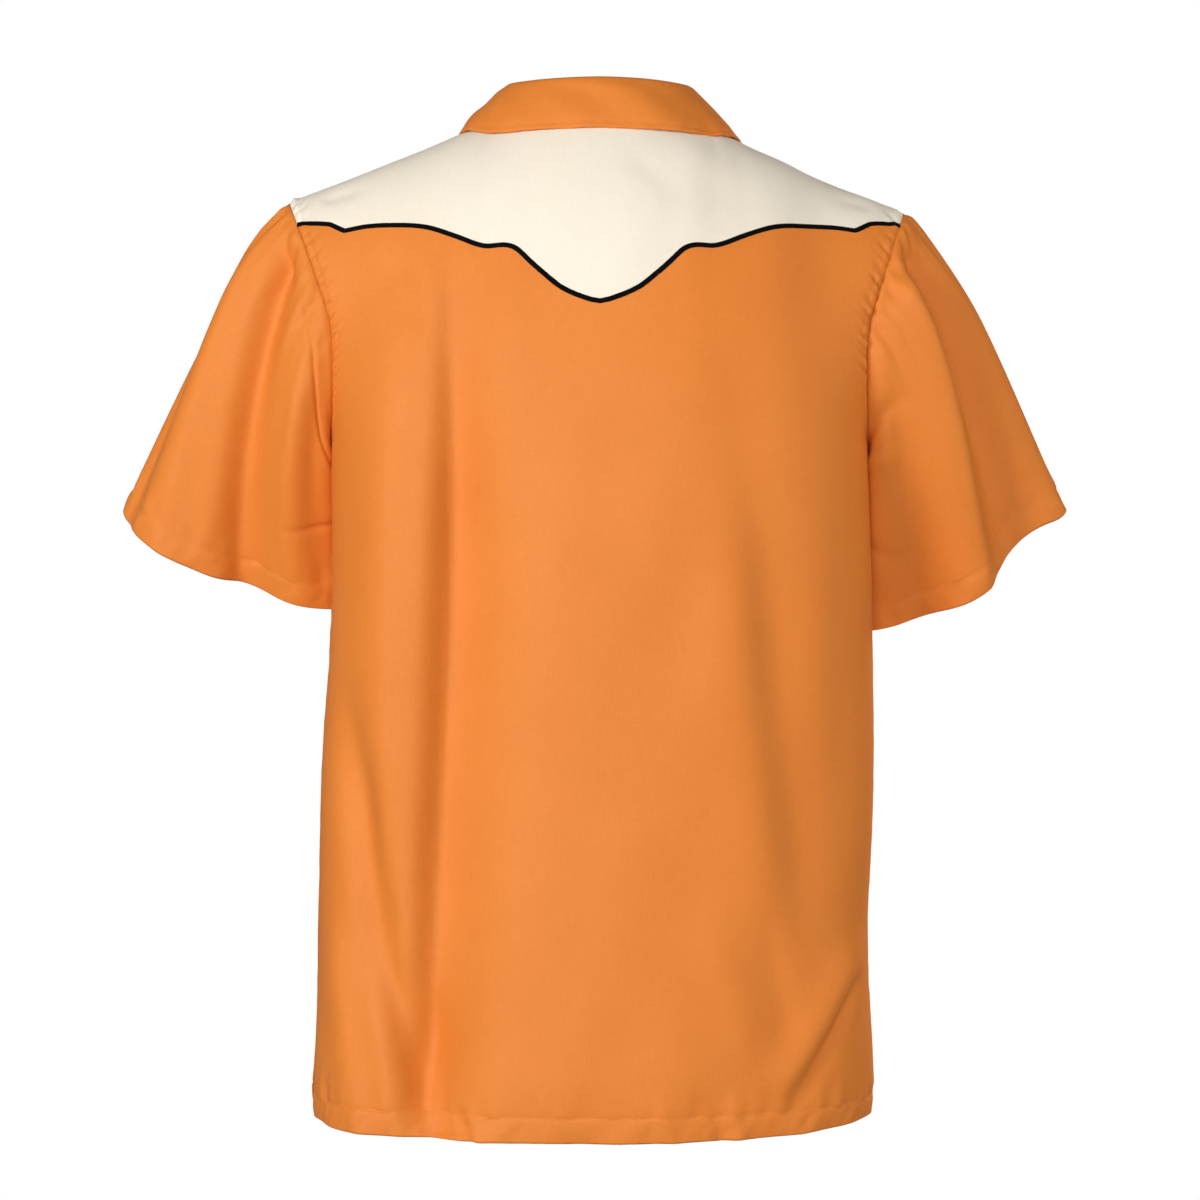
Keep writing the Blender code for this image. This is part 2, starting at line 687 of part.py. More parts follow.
def make_back_and_yoke():
    columns = yoke_columns()
    line = [yoke_line_rise(across) for across in columns]
    rows = []
    for index in range(BACK_ROWS_BELOW + 1 + len(RISES_ABOVE)):
        row = []
        for across, line_rise in zip(columns, line):
            rise = edge_rises(line_rise)[index]
            point = trunk(across, rise, BACK)
            point.z += back_hem_lift(across) if index == 0 else 0.0
            row.append(point)
        rises = (edge_rises(line[-1])[index], edge_rises(line[0])[index])
        trim_side(row, -1, LEFT, BACK, rises[0])
        trim_side(row, 0, RIGHT, BACK, rises[1])
        rows.append(row)
    draw_back_row(rows, YOKE_SEAM_SET_BACK, -1)
    wall("back", [rows], orange)

    rows = []
    for share in YOKE_RISES:
        rises = [low + (1 - low) * share for low in line]
        row = [trunk(across, rise, BACK) for across, rise in zip(columns, rises)]
        trim_side(row, -1, LEFT, BACK, rises[-1])
        trim_side(row, 0, RIGHT, BACK, rises[0])
        rows.append(row)
    draw_back_row(rows, YOKE_SEAM_SET_BACK, 0)
    for i, across in enumerate(columns):
        if abs(across) * math.pi / 2 <= NECK_ANGLE + ROUNDING:
            rows[-1][i] = rows[-1][i] + (rows[-2][i] - rows[-1][i]).normalized() * NECK_SET_BACK
    grids = [rows]
    for side in (LEFT, RIGHT):
        grids.append(yoke_over_shoulder(side, columns, rows[-1]))
    wall("back_yoke", grids, cream)
    return columns, line, grids


def yoke_over_shoulder(side, columns, ridge_row):
    """The yoke's part that runs forward over one shoulder, from the ridge to the front seam."""
    strip = []
    for across, ridge_point in zip(columns, ridge_row):
        angle = abs(across) * math.pi / 2
        if across * side > 0 and angle >= NECK_ANGLE - ROUNDING:
            share = (angle - NECK_ANGLE) / (math.pi / 2 - NECK_ANGLE)
            strip.append((share, ridge_point))
    rows = [[point for share, point in strip]]
    for forward in (0.5, 1.0):
        row = []
        for share, _ in strip:
            ridge = shoulder_ridge(side, share)
            point = ridge.lerp(yoke_front_seam(side, share), forward)
            point.z = ridge.z + (yoke_front_seam(side, share).z - ridge.z) * forward**2
            row.append(point)
        outer = -1 if side == LEFT else 0
        hole_angle = math.pi - (math.pi - YOKE_SEAM_ANGLE) * forward
        row[outer] = row[outer] + armhole_mitre(side, FRONT, hole_angle)[0]
        draw_back(row, NECK_SET_BACK, -1 - outer)
        rows.append(row)
    draw_back_row(rows, SEAM_GAP / 2, -1)
    return rows


def make_piping(columns, line):
    """The narrow black tape that covers the seam of the yoke with the back."""
    lift = WALL / 2 + SEAM_GAP + PIPING_WALL / 2
    centre = [trunk(across, rise, BACK, lift) for across, rise in zip(columns, line)]
    inner = [trunk(across, rise, BACK, lift - PIPING_WALL) for across, rise in zip(columns, line)]
    for end in (0, -1):
        draw_back(centre, PIPING_SET_BACK, end)
    low = []
    high = []
    for i, point in enumerate(centre):
        before = (point - centre[i - 1]).normalized() if i > 0 else None
        after = (centre[i + 1] - point).normalized() if i + 1 < len(centre) else None
        tangent = ((before or after) + (after or before)).normalized()
        out = (point - inner[i]).normalized()
        aside = out.cross(tangent).normalized()
        half = PIPING_WIDTH / 2 / (after or before).dot(tangent)
        low.append(point - aside * half)
        high.append(point + aside * half)
    wall("yoke_piping", [[low, high]], black, thickness=PIPING_WALL)


# ---------------------------------------------------------------- fronts and lapels


def roll_line(share):
    """The x and height where a lapel turns back, from the break up to the neckline."""
    top = crown(NECKLINE_ENDS_AT, FRONT)
    low = smooth_trunk(-OVERLAP_ACROSS, rise_at_height(-OVERLAP_ACROSS, BREAK_HEIGHT, FRONT), FRONT)
    height = BREAK_HEIGHT + (top.z - BREAK_HEIGHT) * share
    return low.x + (top.x - low.x) * share, height - ROLL_BOW * math.sin(math.pi * share)


def front_top(side, inward):
    """The rise at which a front's column ends: at the shoulder seam, neckline or roll line."""
    neckline_ends = NECKLINE_ENDS_AT / (math.pi / 2)
    if inward >= neckline_ends - ROUNDING:
        return 1.0
    low, high = roll_line(0)[0], roll_line(1)[0]

    def above(rise):
        point = smooth_trunk(side * inward, rise, FRONT)
        share = (side * point.x - low) / (high - low)
        return point.z - roll_line(min(max(share, 0), 1))[1]

    return solve(above, 0, 1)


def front_lift(side, x):
    """The right front runs below the left one where they lap."""
    if side == LEFT:
        return 0.0
    under = ease((UNDERLAP_STARTS + x) / (UNDERLAP_STARTS - UNDERLAP_ENDS))
    return -(WALL + FRONT_GAP) * under


def front_point(side, across, rise, lift=0.0):
    x = smooth_trunk(across, rise, FRONT).x
    return trunk(across, rise, FRONT, lift + front_lift(side, x))


def front_set_back(inward):
    """How far a front's top edge keeps from the roll line, the neckline or the yoke."""
    angle = inward * math.pi / 2
    if angle < NECKLINE_ENDS_AT - ROUNDING:
        return ROLL_SET_BACK
    return NECK_SET_BACK if angle <= NECK_ANGLE + ROUNDING else SEAM_GAP / 2


def make_front(side, name):
    tops = [front_top(side, inward) for inward in FRONT_COLUMNS]
    below = [[-1 + row / FRONT_ROWS_BELOW] * len(tops) for row in range(FRONT_ROWS_BELOW + 1)]
    above = [[top * share for top in tops] for share in FRONT_RISES_ABOVE]
    rows = []
    for rises in below + above:
        row = [front_point(side, side * inward, rise) for inward, rise in zip(FRONT_COLUMNS, rises)]
        trim_side(row, -1, side, FRONT, rises[-1])
        rows.append(row)
    for i, inward in enumerate(FRONT_COLUMNS):
        downward = (rows[-2][i] - rows[-1][i]).normalized()
        rows[-1][i] = rows[-1][i] + downward * front_set_back(inward)
    wall(name, [rows], orange)
    return rows


def lapel_point(side, share, outward):
    """A place on the turned-back top of a front; outward runs from the roll line to the edge."""
    x, height = roll_line(share)
    width = read(LAPEL, "width", share)
    past_notch = max(0.0, outward - NOTCH_STARTS) / (1 - NOTCH_STARTS)
    x += width * outward
    height -= width * outward * read(LAPEL, "slope", share) + read(LAPEL, "notch", share) * past_notch
    return x, height


def make_lapel(side, name):
    start = LAPEL_STARTS[side]
    rows = []
    for index in range(LAPEL_ROWS + 1):
        share = start + (LAPEL_ENDS - start) * index / LAPEL_ROWS
        x, height = lapel_point(side, share, 0)
        turn_height = height + ROLL_TURN / 2 * (1 - share)
        across, rise = place_on(side * (x - ROLL_TURN), turn_height, FRONT)
        row = [front_point(side, across, rise, ROLL_LIFT)]
        for outward in LAPEL_COLUMNS:
            x, height = lapel_point(side, share, outward)
            across, rise = place_on(side * x, height, FRONT)
            row.append(front_point(side, across, rise, WALL + LAYER_GAP))
        rows.append(row)
    wall(name, [rows], orange)


# ---------------------------------------------------------------- collar


def neckline(share):
    """The neck seam, from the centre back (0) over the neck point to the lapel (1 or -1)."""
    side = LEFT if share >= 0 else RIGHT
    along = abs(share)
    if along <= NECK_POINT_SHARE:
        return crown(side * NECK_ANGLE * along / NECK_POINT_SHARE, BACK)
    if along <= YOKE_SEAM_SHARE:
        forward = (along - NECK_POINT_SHARE) / (YOKE_SEAM_SHARE - NECK_POINT_SHARE)
        ridge = shoulder_ridge(side, 0)
        seam = yoke_front_seam(side, 0)
        point = ridge.lerp(seam, forward)
        point.z = ridge.z + (seam.z - ridge.z) * forward**2
        return point
    down = (along - YOKE_SEAM_SHARE) / (1 - YOKE_SEAM_SHARE)
    return crown(side * (NECK_ANGLE + (NECKLINE_ENDS_AT - NECK_ANGLE) * down), FRONT)


def collar_section(share, form):
    """The collar's wall at one place: up from the neck seam, over the fold and down the fall."""
    tangent = neckline(min(share + HOLE_STEP, 1)) - neckline(max(share - HOLE_STEP, -1))
    out = Vector((-tangent.y, tangent.x, 0)).normalized()
    up = Vector((0, 0, 1))
    along = abs(share)
    rise = read(COLLAR, "rise", along)
    seam = neckline(share) + up * COLLAR_SEAM_LIFT
    fold = neckline(share) - out * read(COLLAR, "lean", along) + up * rise
    swing = read(COLLAR, "swing", along)
    fall_out = (out * (1 - swing) + Vector((math.copysign(swing, share), 0, 0))).normalized()
    edge = fold + fall_out * read(COLLAR, "reach", along) - up * read(COLLAR, "drop", along)
    edge = clear_of(form, edge, True)
    radius = min(COLLAR_FOLD_RADIUS, rise * COLLAR_FOLD_MOST)
    inner, outer = [
        fold + (out * turn.outward - up * turn.downward) * radius
        for turn in (COLLAR_TURN_INSIDE, COLLAR_TURN_OUTSIDE)
    ]
    section = [seam, seam.lerp(inner, 0.5), inner, fold, outer]
    for share_down in FALL_SHARES:
        point = outer.lerp(edge, share_down) + out * FALL_BOW * math.sin(math.pi * share_down)
        section.append(clear_of(form, point, False))
    return section + [edge]


def clear_of(form, point, resting):
    """A point lifted clear of the shirt's body, or laid on it where it rests."""
    place, normal, _, _ = form.find_nearest(point)
    if normal.dot(point - BODY_MIDDLE) < 0:
        normal = -normal
    height = (point - place).dot(normal)
    if resting or height < COLLAR_LIFT:
        return place + normal * COLLAR_LIFT
    return point


def make_collar(grids):
    points = []
    faces = []
    for grid in grids:
        first = len(points)
        wide = len(grid[0])
        points += [point for row in grid for point in row]
        for r in range(len(grid) - 1):
            for c in range(wide - 1):
                corner = first + r * wide + c
                faces.append((corner, corner + 1, corner + wide + 1, corner + wide))
    form = BVHTree.FromPolygons(points, faces)
    half = spaced(0, NECK_POINT_SHARE, 8)[:-1]
    half += spaced(NECK_POINT_SHARE, YOKE_SEAM_SHARE, 2)[:-1] + spaced(YOKE_SEAM_SHARE, 1, 5)
    shares = [-share for share in reversed(half[1:])] + half
    wall("collar", [[collar_section(share, form) for share in shares]], orange)


# ---------------------------------------------------------------- sleeves


def armhole_places(line):
    """The faces and angles of the armhole where the trunk's rows end, once round."""
    for side, line_rise in ((LEFT, line[-1]), (RIGHT, line[0])):
        back = [rise for rise in edge_rises(line_rise) if rise > 0]
        back += [line_rise + (1 - line_rise) * share for share in YOKE_RISES[1:-1]]
        places = [(BACK, 0.0)]
        places += [(BACK, hole_angle_at(rise, BACK)) for rise in back]
        places += [(BACK, math.pi), (FRONT, (math.pi + YOKE_SEAM_ANGLE) / 2)]
        places += [(FRONT, hole_angle_at(rise, FRONT)) for rise in reversed(FRONT_RISES_ABOVE)]
        yield side, places


def make_sleeve(side, places, name):
    rows = [[sleeve(side, face, angle, along) for face, angle in places] for along in SLEEVE_ROWS]
    for i, (face, angle) in enumerate(places):
        rows[0][i] = rows[0][i] + armhole_mitre(side, face, angle)[1]
    wall(name, [rows], orange, closed=True)


# ---------------------------------------------------------------- buttons


def thread_hole_drills():
    """The cutters of a button's thread holes, in a collection of their own."""
    drills = []
    for index in range(THREAD_HOLES):
        angle = (index + 0.5) * 2 * math.pi / THREAD_HOLES
        bpy.ops.mesh.primitive_cylinder_add(
            vertices=THREAD_HOLE_SIDES,
            radius=THREAD_HOLE_RADIUS,
            depth=DRILL_LENGTH,
            location=(THREAD_HOLE_OFFSET * math.cos(angle), THREAD_HOLE_OFFSET * math.sin(angle), 0),
        )
        drill = bpy.context.object
        drill.name = f"thread_hole_drill_{index + 1}"
        drill.display_type = "WIRE"
        drill.hide_render = True
        for home in list(drill.users_collection):
            home.objects.unlink(drill)
        cutters.objects.link(drill)
        drills.append(drill)
    return drills


def button_mesh():
    """A shirt button: a turned disc with a raised rim and thread holes."""
    corners = [(point.radius, 0, point.height) for point in BUTTON_PROFILE]
    profile = bpy.data.meshes.new("button_profile")
    profile.from_pydata(corners, [(i, i + 1) for i in range(len(corners) - 1)], [])
    blank = add_object("button_blank", profile, button_plastic)
    screw = blank.modifiers.new("turn", "SCREW")
    screw.steps = BUTTON_SIDES
    screw.render_steps = BUTTON_SIDES
    screw.use_merge_vertices = True
    screw.merge_threshold = 0.00001
    for drill in thread_hole_drills():
        cut = blank.modifiers.new("thread_hole", "BOOLEAN")
        cut.operation = "DIFFERENCE"
        cut.object = drill
    bpy.context.view_layer.update()
    graph = bpy.context.evaluated_depsgraph_get()
    mesh = bpy.data.meshes.new_from_object(blank.evaluated_get(graph))
    mesh.name = "button"
    bpy.data.objects.remove(blank, do_unlink=True)
    return mesh


def make_buttons():
    mesh = button_mesh()
    for index in range(BUTTON_COUNT):
        rise = rise_at_height(BUTTON_ACROSS, TOP_BUTTON_HEIGHT - index * BUTTON_SPACING, FRONT)
        seat = trunk(BUTTON_ACROSS, rise, FRONT, WALL / 2 + BUTTON_GAP)
        out = seat - trunk(BUTTON_ACROSS, rise, FRONT)
        button = bpy.data.objects.new(f"button_{index + 1}", mesh)
        button.location = seat
        button.rotation_euler = out.to_track_quat("Z", "Y").to_euler()
        shirt.objects.link(button)


# ---------------------------------------------------------------- assembly

for old in list(bpy.data.objects):
    bpy.data.objects.remove(old, do_unlink=True)
shirt = bpy.data.collections.new("camp_shirt")
cutters = bpy.data.collections.new("cutters")
for group in (shirt, cutters):
    bpy.context.scene.collection.children.link(group)
orange = material("orange_cotton", ORANGE, CLOTH_ROUGHNESS)
cream = material("cream_cotton", CREAM, CLOTH_ROUGHNESS)
black = material("black_piping", BLACK, CLOTH_ROUGHNESS)
button_plastic = material("orange_button", BUTTON_COLOUR, BUTTON_ROUGHNESS)

yoke_line_places, yoke_line_rises, body_grids = make_back_and_yoke()
make_piping(yoke_line_places, yoke_line_rises)
body_grids.append(make_front(LEFT, "front_left"))
body_grids.append(make_front(RIGHT, "front_right"))
make_lapel(LEFT, "lapel_left")
make_lapel(RIGHT, "lapel_right")
make_collar(body_grids)
sleeve_names = {LEFT: "sleeve_left", RIGHT: "sleeve_right"}
for sleeve_side, armhole_ring in armhole_places(yoke_line_rises):
    make_sleeve(sleeve_side, armhole_ring, sleeve_names[sleeve_side])
make_buttons()
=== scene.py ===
"""Looks of a short-sleeved camp shirt, filled out with no wearer: orange cotton, a cream western
back yoke and a narrow black line along the yoke's edge.

Metres. +Z is up and the wearer faces -Y, so the wearer's left is +X. Each panel of cloth is a
fine grid of points on the surface of its solid, moved out or in by folds, puckers and hems, and
then given its thickness. A place on the trunk is across (-1 to 1 from the right side seam to the
left one), rise (-1 at the hem, 0 at the armpits, 1 at the neck and shoulders) and face (1 back,
-1 front). A place on a sleeve is its turn round the armhole and along (0 armhole, 1 hem).
"""

import json
import math
from collections import namedtuple

import bpy
import numpy as np
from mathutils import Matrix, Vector
from mathutils.bvhtree import BVHTree

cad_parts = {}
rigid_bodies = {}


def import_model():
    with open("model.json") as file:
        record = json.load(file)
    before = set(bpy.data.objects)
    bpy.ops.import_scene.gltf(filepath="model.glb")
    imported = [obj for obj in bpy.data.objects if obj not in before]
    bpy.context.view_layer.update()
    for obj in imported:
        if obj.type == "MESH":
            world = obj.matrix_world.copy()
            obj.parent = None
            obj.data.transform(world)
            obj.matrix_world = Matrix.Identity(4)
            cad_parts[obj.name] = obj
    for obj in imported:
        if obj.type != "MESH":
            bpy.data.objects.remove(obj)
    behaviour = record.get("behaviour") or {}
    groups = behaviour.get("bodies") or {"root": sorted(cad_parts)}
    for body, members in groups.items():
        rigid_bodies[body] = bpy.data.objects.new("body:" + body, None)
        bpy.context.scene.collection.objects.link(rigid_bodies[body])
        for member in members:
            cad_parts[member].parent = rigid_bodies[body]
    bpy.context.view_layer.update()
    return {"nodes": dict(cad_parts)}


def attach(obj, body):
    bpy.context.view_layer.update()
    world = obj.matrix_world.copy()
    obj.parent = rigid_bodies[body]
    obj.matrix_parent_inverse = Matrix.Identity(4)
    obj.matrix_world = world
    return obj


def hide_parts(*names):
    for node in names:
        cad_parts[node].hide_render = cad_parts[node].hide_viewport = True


for leftover in list(bpy.data.objects):
    bpy.data.objects.remove(leftover, do_unlink=True)
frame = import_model()

BACK = 1
FRONT = -1
LEFT = 1
RIGHT = -1
QUARTER = math.pi / 2

# ------------------------------------------------------------ the cut, as the solids have it

HEM_HEIGHT = -0.732
ARMPIT_HEIGHT = -0.235
SQUARENESS = 2.4
Ring = namedtuple("Ring", "height left right back front")
TRUNK = [
    Ring(-0.732, 0.2080, 0.1980, 0.126, 0.128),
    Ring(-0.700, 0.2085, 0.2000, 0.126, 0.127),
    Ring(-0.640, 0.2065, 0.1975, 0.125, 0.126),
    Ring(-0.570, 0.2055, 0.1947, 0.124, 0.125),
    Ring(-0.460, 0.2025, 0.1965, 0.123, 0.124),
    Ring(-0.370, 0.1975, 0.1975, 0.124, 0.123),
    Ring(-0.235, 0.1965, 0.1965, 0.125, 0.120),
]

NECK_BACK = np.array((0, 0.060, 0.000))
NECK_FRONT = np.array((0, -0.084, -0.066))
NECK_ANGLE = math.radians(30)
NECK_ENDS_AT = 0.70
SHOULDER_ENDS_AT = 0.87
SHOULDER_BEND_STARTS = 0.3
BEND_ROUNDS = 110
BEND_STEP = 0.6
YOKE_AT_NECK = np.array((0.0015, 0.024, 0.007))
Shoulder = namedtuple("Shoulder", "neck_x neck_z point_x point_z sag")
SHOULDERS = {
    LEFT: Shoulder(0.078, 0.001, 0.229, -0.057, 0.0010),
    RIGHT: Shoulder(0.078, -0.002, 0.2235, -0.0645, 0.0035),
}

ARMHOLE_DEPTH = 0.052
ARMHOLE_NARROWING = math.radians(21)
ARMHOLE_FLARE = 5
YOKE_SEAM_ANGLE = math.radians(155)
FRONT_SCOOP = 0.006
Armhole = namedtuple("Armhole", "share across")
ARMHOLE = [
    Armhole(0.00, 0.1965),
    Armhole(0.13, 0.1945),
    Armhole(0.42, 0.1945),
    Armhole(0.52, 0.1975),
    Armhole(0.70, 0.2080),
    Armhole(0.88, 0.2200),
    Armhole(1.00, 0.2290),
]

# The yoke's lower edge seen from behind: a sharp point is a corner, the rest is one smooth curve
LinePoint = namedtuple("LinePoint", "across height sharp")
YOKE_LINE = [
    LinePoint(0.0000, -0.1394, False),
    LinePoint(0.0110, -0.1366, False),
    LinePoint(0.0283, -0.1286, False),
    LinePoint(0.0400, -0.1190, False),
    LinePoint(0.0500, -0.1100, False),
    LinePoint(0.0592, -0.1012, False),
    LinePoint(0.0650, -0.0986, False),
    LinePoint(0.0825, -0.0980, False),
    LinePoint(0.1040, -0.0900, False),
    LinePoint(0.1250, -0.0832, False),
    LinePoint(0.1480, -0.0806, False),
    LinePoint(0.1690, -0.0804, False),
    LinePoint(0.1850, -0.0828, True),
    LinePoint(0.1960, -0.0775, True),
    LinePoint(0.2080, -0.0764, False),
    LinePoint(0.2400, -0.0766, False),
]

OVERLAP_ACROSS = 0.037
UNDERLAP_ENDS = 0.024
UNDERLAP_STARTS = 0.048
UNDERLAP_DEPTH = 0.0017
BREAK_HEIGHT = -0.150
ROLL_BOW = 0.003
Lapel = namedtuple("Lapel", "share width slope notch")
LAPEL = [
    Lapel(0.00, 0.006, 0.55, 0.000),
    Lapel(0.30, 0.024, 0.55, 0.000),
    Lapel(0.60, 0.038, 0.52, 0.000),
    Lapel(0.85, 0.047, 0.40, 0.008),
    Lapel(1.00, 0.049, 0.20, 0.030),
]
LAPEL_STARTS = {LEFT: 0.03, RIGHT: 0.36}
LAPEL_ENDS = 0.985
NOTCH_STARTS = 0.38
BUTTON_COUNT = 5

CollarSection = namedtuple("CollarSection", "share rise lean reach drop swing")
COLLAR = [
    CollarSection(0.00, 0.0285, 0.0060, 0.0180, 0.0385, 0.00),
    CollarSection(0.30, 0.0283, 0.0095, 0.0270, 0.0370, 0.00),
    CollarSection(0.575, 0.0283, 0.0115, 0.0410, 0.0325, 0.00),
    CollarSection(0.72, 0.0215, 0.0110, 0.0500, 0.0290, 0.10),
    CollarSection(0.88, 0.0120, 0.0040, 0.0520, 0.0200, 0.45),
    CollarSection(1.00, 0.0070, 0.0000, 0.0540, 0.0130, 0.75),
]
BODY_MIDDLE = Vector((0, -0.01, -0.12))
NECK_POINT_SHARE = 0.575
YOKE_SEAM_SHARE = 0.70
NECKLINE_ENDS_AT = math.radians(17)
COLLAR_LIFT = 0.0030
COLLAR_FOLD_RADIUS = 0.0026
COLLAR_FOLD_MOST = 0.4
CollarTurn = namedtuple("CollarTurn", "outward downward")
COLLAR_TURN_INSIDE = CollarTurn(-0.4, 1.0)
COLLAR_TURN_OUTSIDE = CollarTurn(1.6, 0.8)
FALL_SHARES = (0.33, 0.67)
FALL_BOW = 0.002

Flow = namedtuple("Flow", "leaving arriving")
SLEEVE_FLOW = {
    "top": Flow((0.140, 0.000, -0.140), (0.115, -0.050, -0.225)),
    "back": Flow((0.095, 0.012, -0.085), (0.070, -0.055, -0.190)),
    "pit": Flow((0.045, -0.010, -0.030), (-0.015, -0.030, -0.100)),
    "front": Flow((0.095, -0.020, -0.060), (0.070, -0.045, -0.170)),
}
SleeveHem = namedtuple("SleeveHem", "outer inner depth tilt wave")
SLEEVE_HEMS = {
    LEFT: SleeveHem((0.3605, -0.045, -0.2850), (0.188, -0.060, -0.345), 0.049, 0.56, 0.003),
    RIGHT: SleeveHem((0.3475, -0.045, -0.2835), (0.189, -0.058, -0.361), 0.049, 0.75, 0.014),
}
HEM_WAVE_AROUND = math.radians(42)
HEM_WAVE_HALF_WIDTH = math.radians(24)

VENT_HEIGHT = 0.085
VENT_SPREAD = 0.0040
VENT_FLARE = {LEFT: 0.0034, RIGHT: 0.0010}
VENT_FLARE_WIDTH = 0.030
HALF_BACK = 0.300
Corner = namedtuple("Corner", "width rise fade")
BACK_CORNER = Corner(0.016, 0.010, 0.030)
FRONT_CORNER = Corner(0.022, 0.016, 0.035)
HEM_RISE = {LEFT: 0.003, RIGHT: 0.009}
HEM_RISE_CURVE = 1.5

# ------------------------------------------------------------ sewing and cloth

CLOTH = 0.0007
HEM_DEPTH = 0.018
HEM_LAYER = 0.0010
HEM_STEPS = np.array((0, 0.6, 1.5, 3, 5.5, 8, 10.5, 13, 15.5, 17.2, 18, 18.8, 20.5, 24, 28)) / 1000
HEM_TURNED_ROWS = (1, 3, 5, 7, 10)
SEAM_DIP = 0.0011
SEAM_HALF_WIDTH = 0.0024
STITCH_LENGTH = 0.0026
STITCH_PITCH = 0.0033
THREAD_HALF = 0.00024
THREAD_SHOWN = 0.3
VENT_STITCH_INSET = 0.0065
EDGE_STITCH_INSET = 0.0050
ARMHOLE_STITCH_INSET = 0.0075
BACK_HOLE_ENDS = -0.082
FRONT_HOLE_ENDS = -0.070
LINE_WIDTH = 0.0036
LINE_LIFT = 0.00085
LINE_CLOTH = 0.0004
LINE_EDGE_DROP = 0.0003
COLLAR_CLOTH = 0.0015

HEM_BAND = 0.00045
HEM_GROOVE = 0.00045
HEM_GROOVE_WIDTH = 0.0014
HEM_SLANT = 0.5
HEM_RELIEF_ENDS = 0.1
ALLOWANCE_HEIGHT = 0.0005
ALLOWANCE_MIDDLE = 0.0042
ALLOWANCE_WIDTH = 0.0030
ARMHOLE_GROOVE = 0.0003
PUCKER_SLANT = 0.8
PUCKER_WIDTH = 0.0100
VENT_EDGE = 0.0004
VENT_GROOVE = 0.0005
CRUMPLE_WAVES = 14
BODY_CRUMPLE = 0.0007
SLEEVE_CRUMPLE = 0.0006
COLLAR_GROOVE = 0.0003
Waves = namedtuple("Waves", "height lengths")
HEM_ROPING = Waves(0.0006, (0.013, 0.019, 0.029, 0.047))
HEM_PULL = Waves(0.0008, (0.017, 0.026, 0.041))
HEM_EDGE = Waves(0.0012, (0.045, 0.07, 0.11))
SIDE_SEAM_PULL = Waves(0.0005, (0.017, 0.031, 0.053))
ARMHOLE_PUCKER = Waves(0.0019, (0.0058, 0.0079, 0.0124))
SLEEVE_HEAD = Waves(0.0015, (0.011, 0.017, 0.029))
COLLAR_SWAY = Waves(0.0010, (0.055, 0.083, 0.13))
COLLAR_RUFFLE = Waves(0.0006, (0.015, 0.023, 0.037))
SEEDS = {
    "back_crumple": 11,
    "front_crumple": 12,
    "back_hem": 21,
    "back_right_edge": 31,
    "back_left_edge": 32,
    "front_hem": 41,
    "front_edge": 51,
    "collar_sway": 61,
    "collar_ruffle": 62,
    "sleeve_crumple": 71,
    "sleeve_head": 73,
    "sleeve_hem": 81,
}

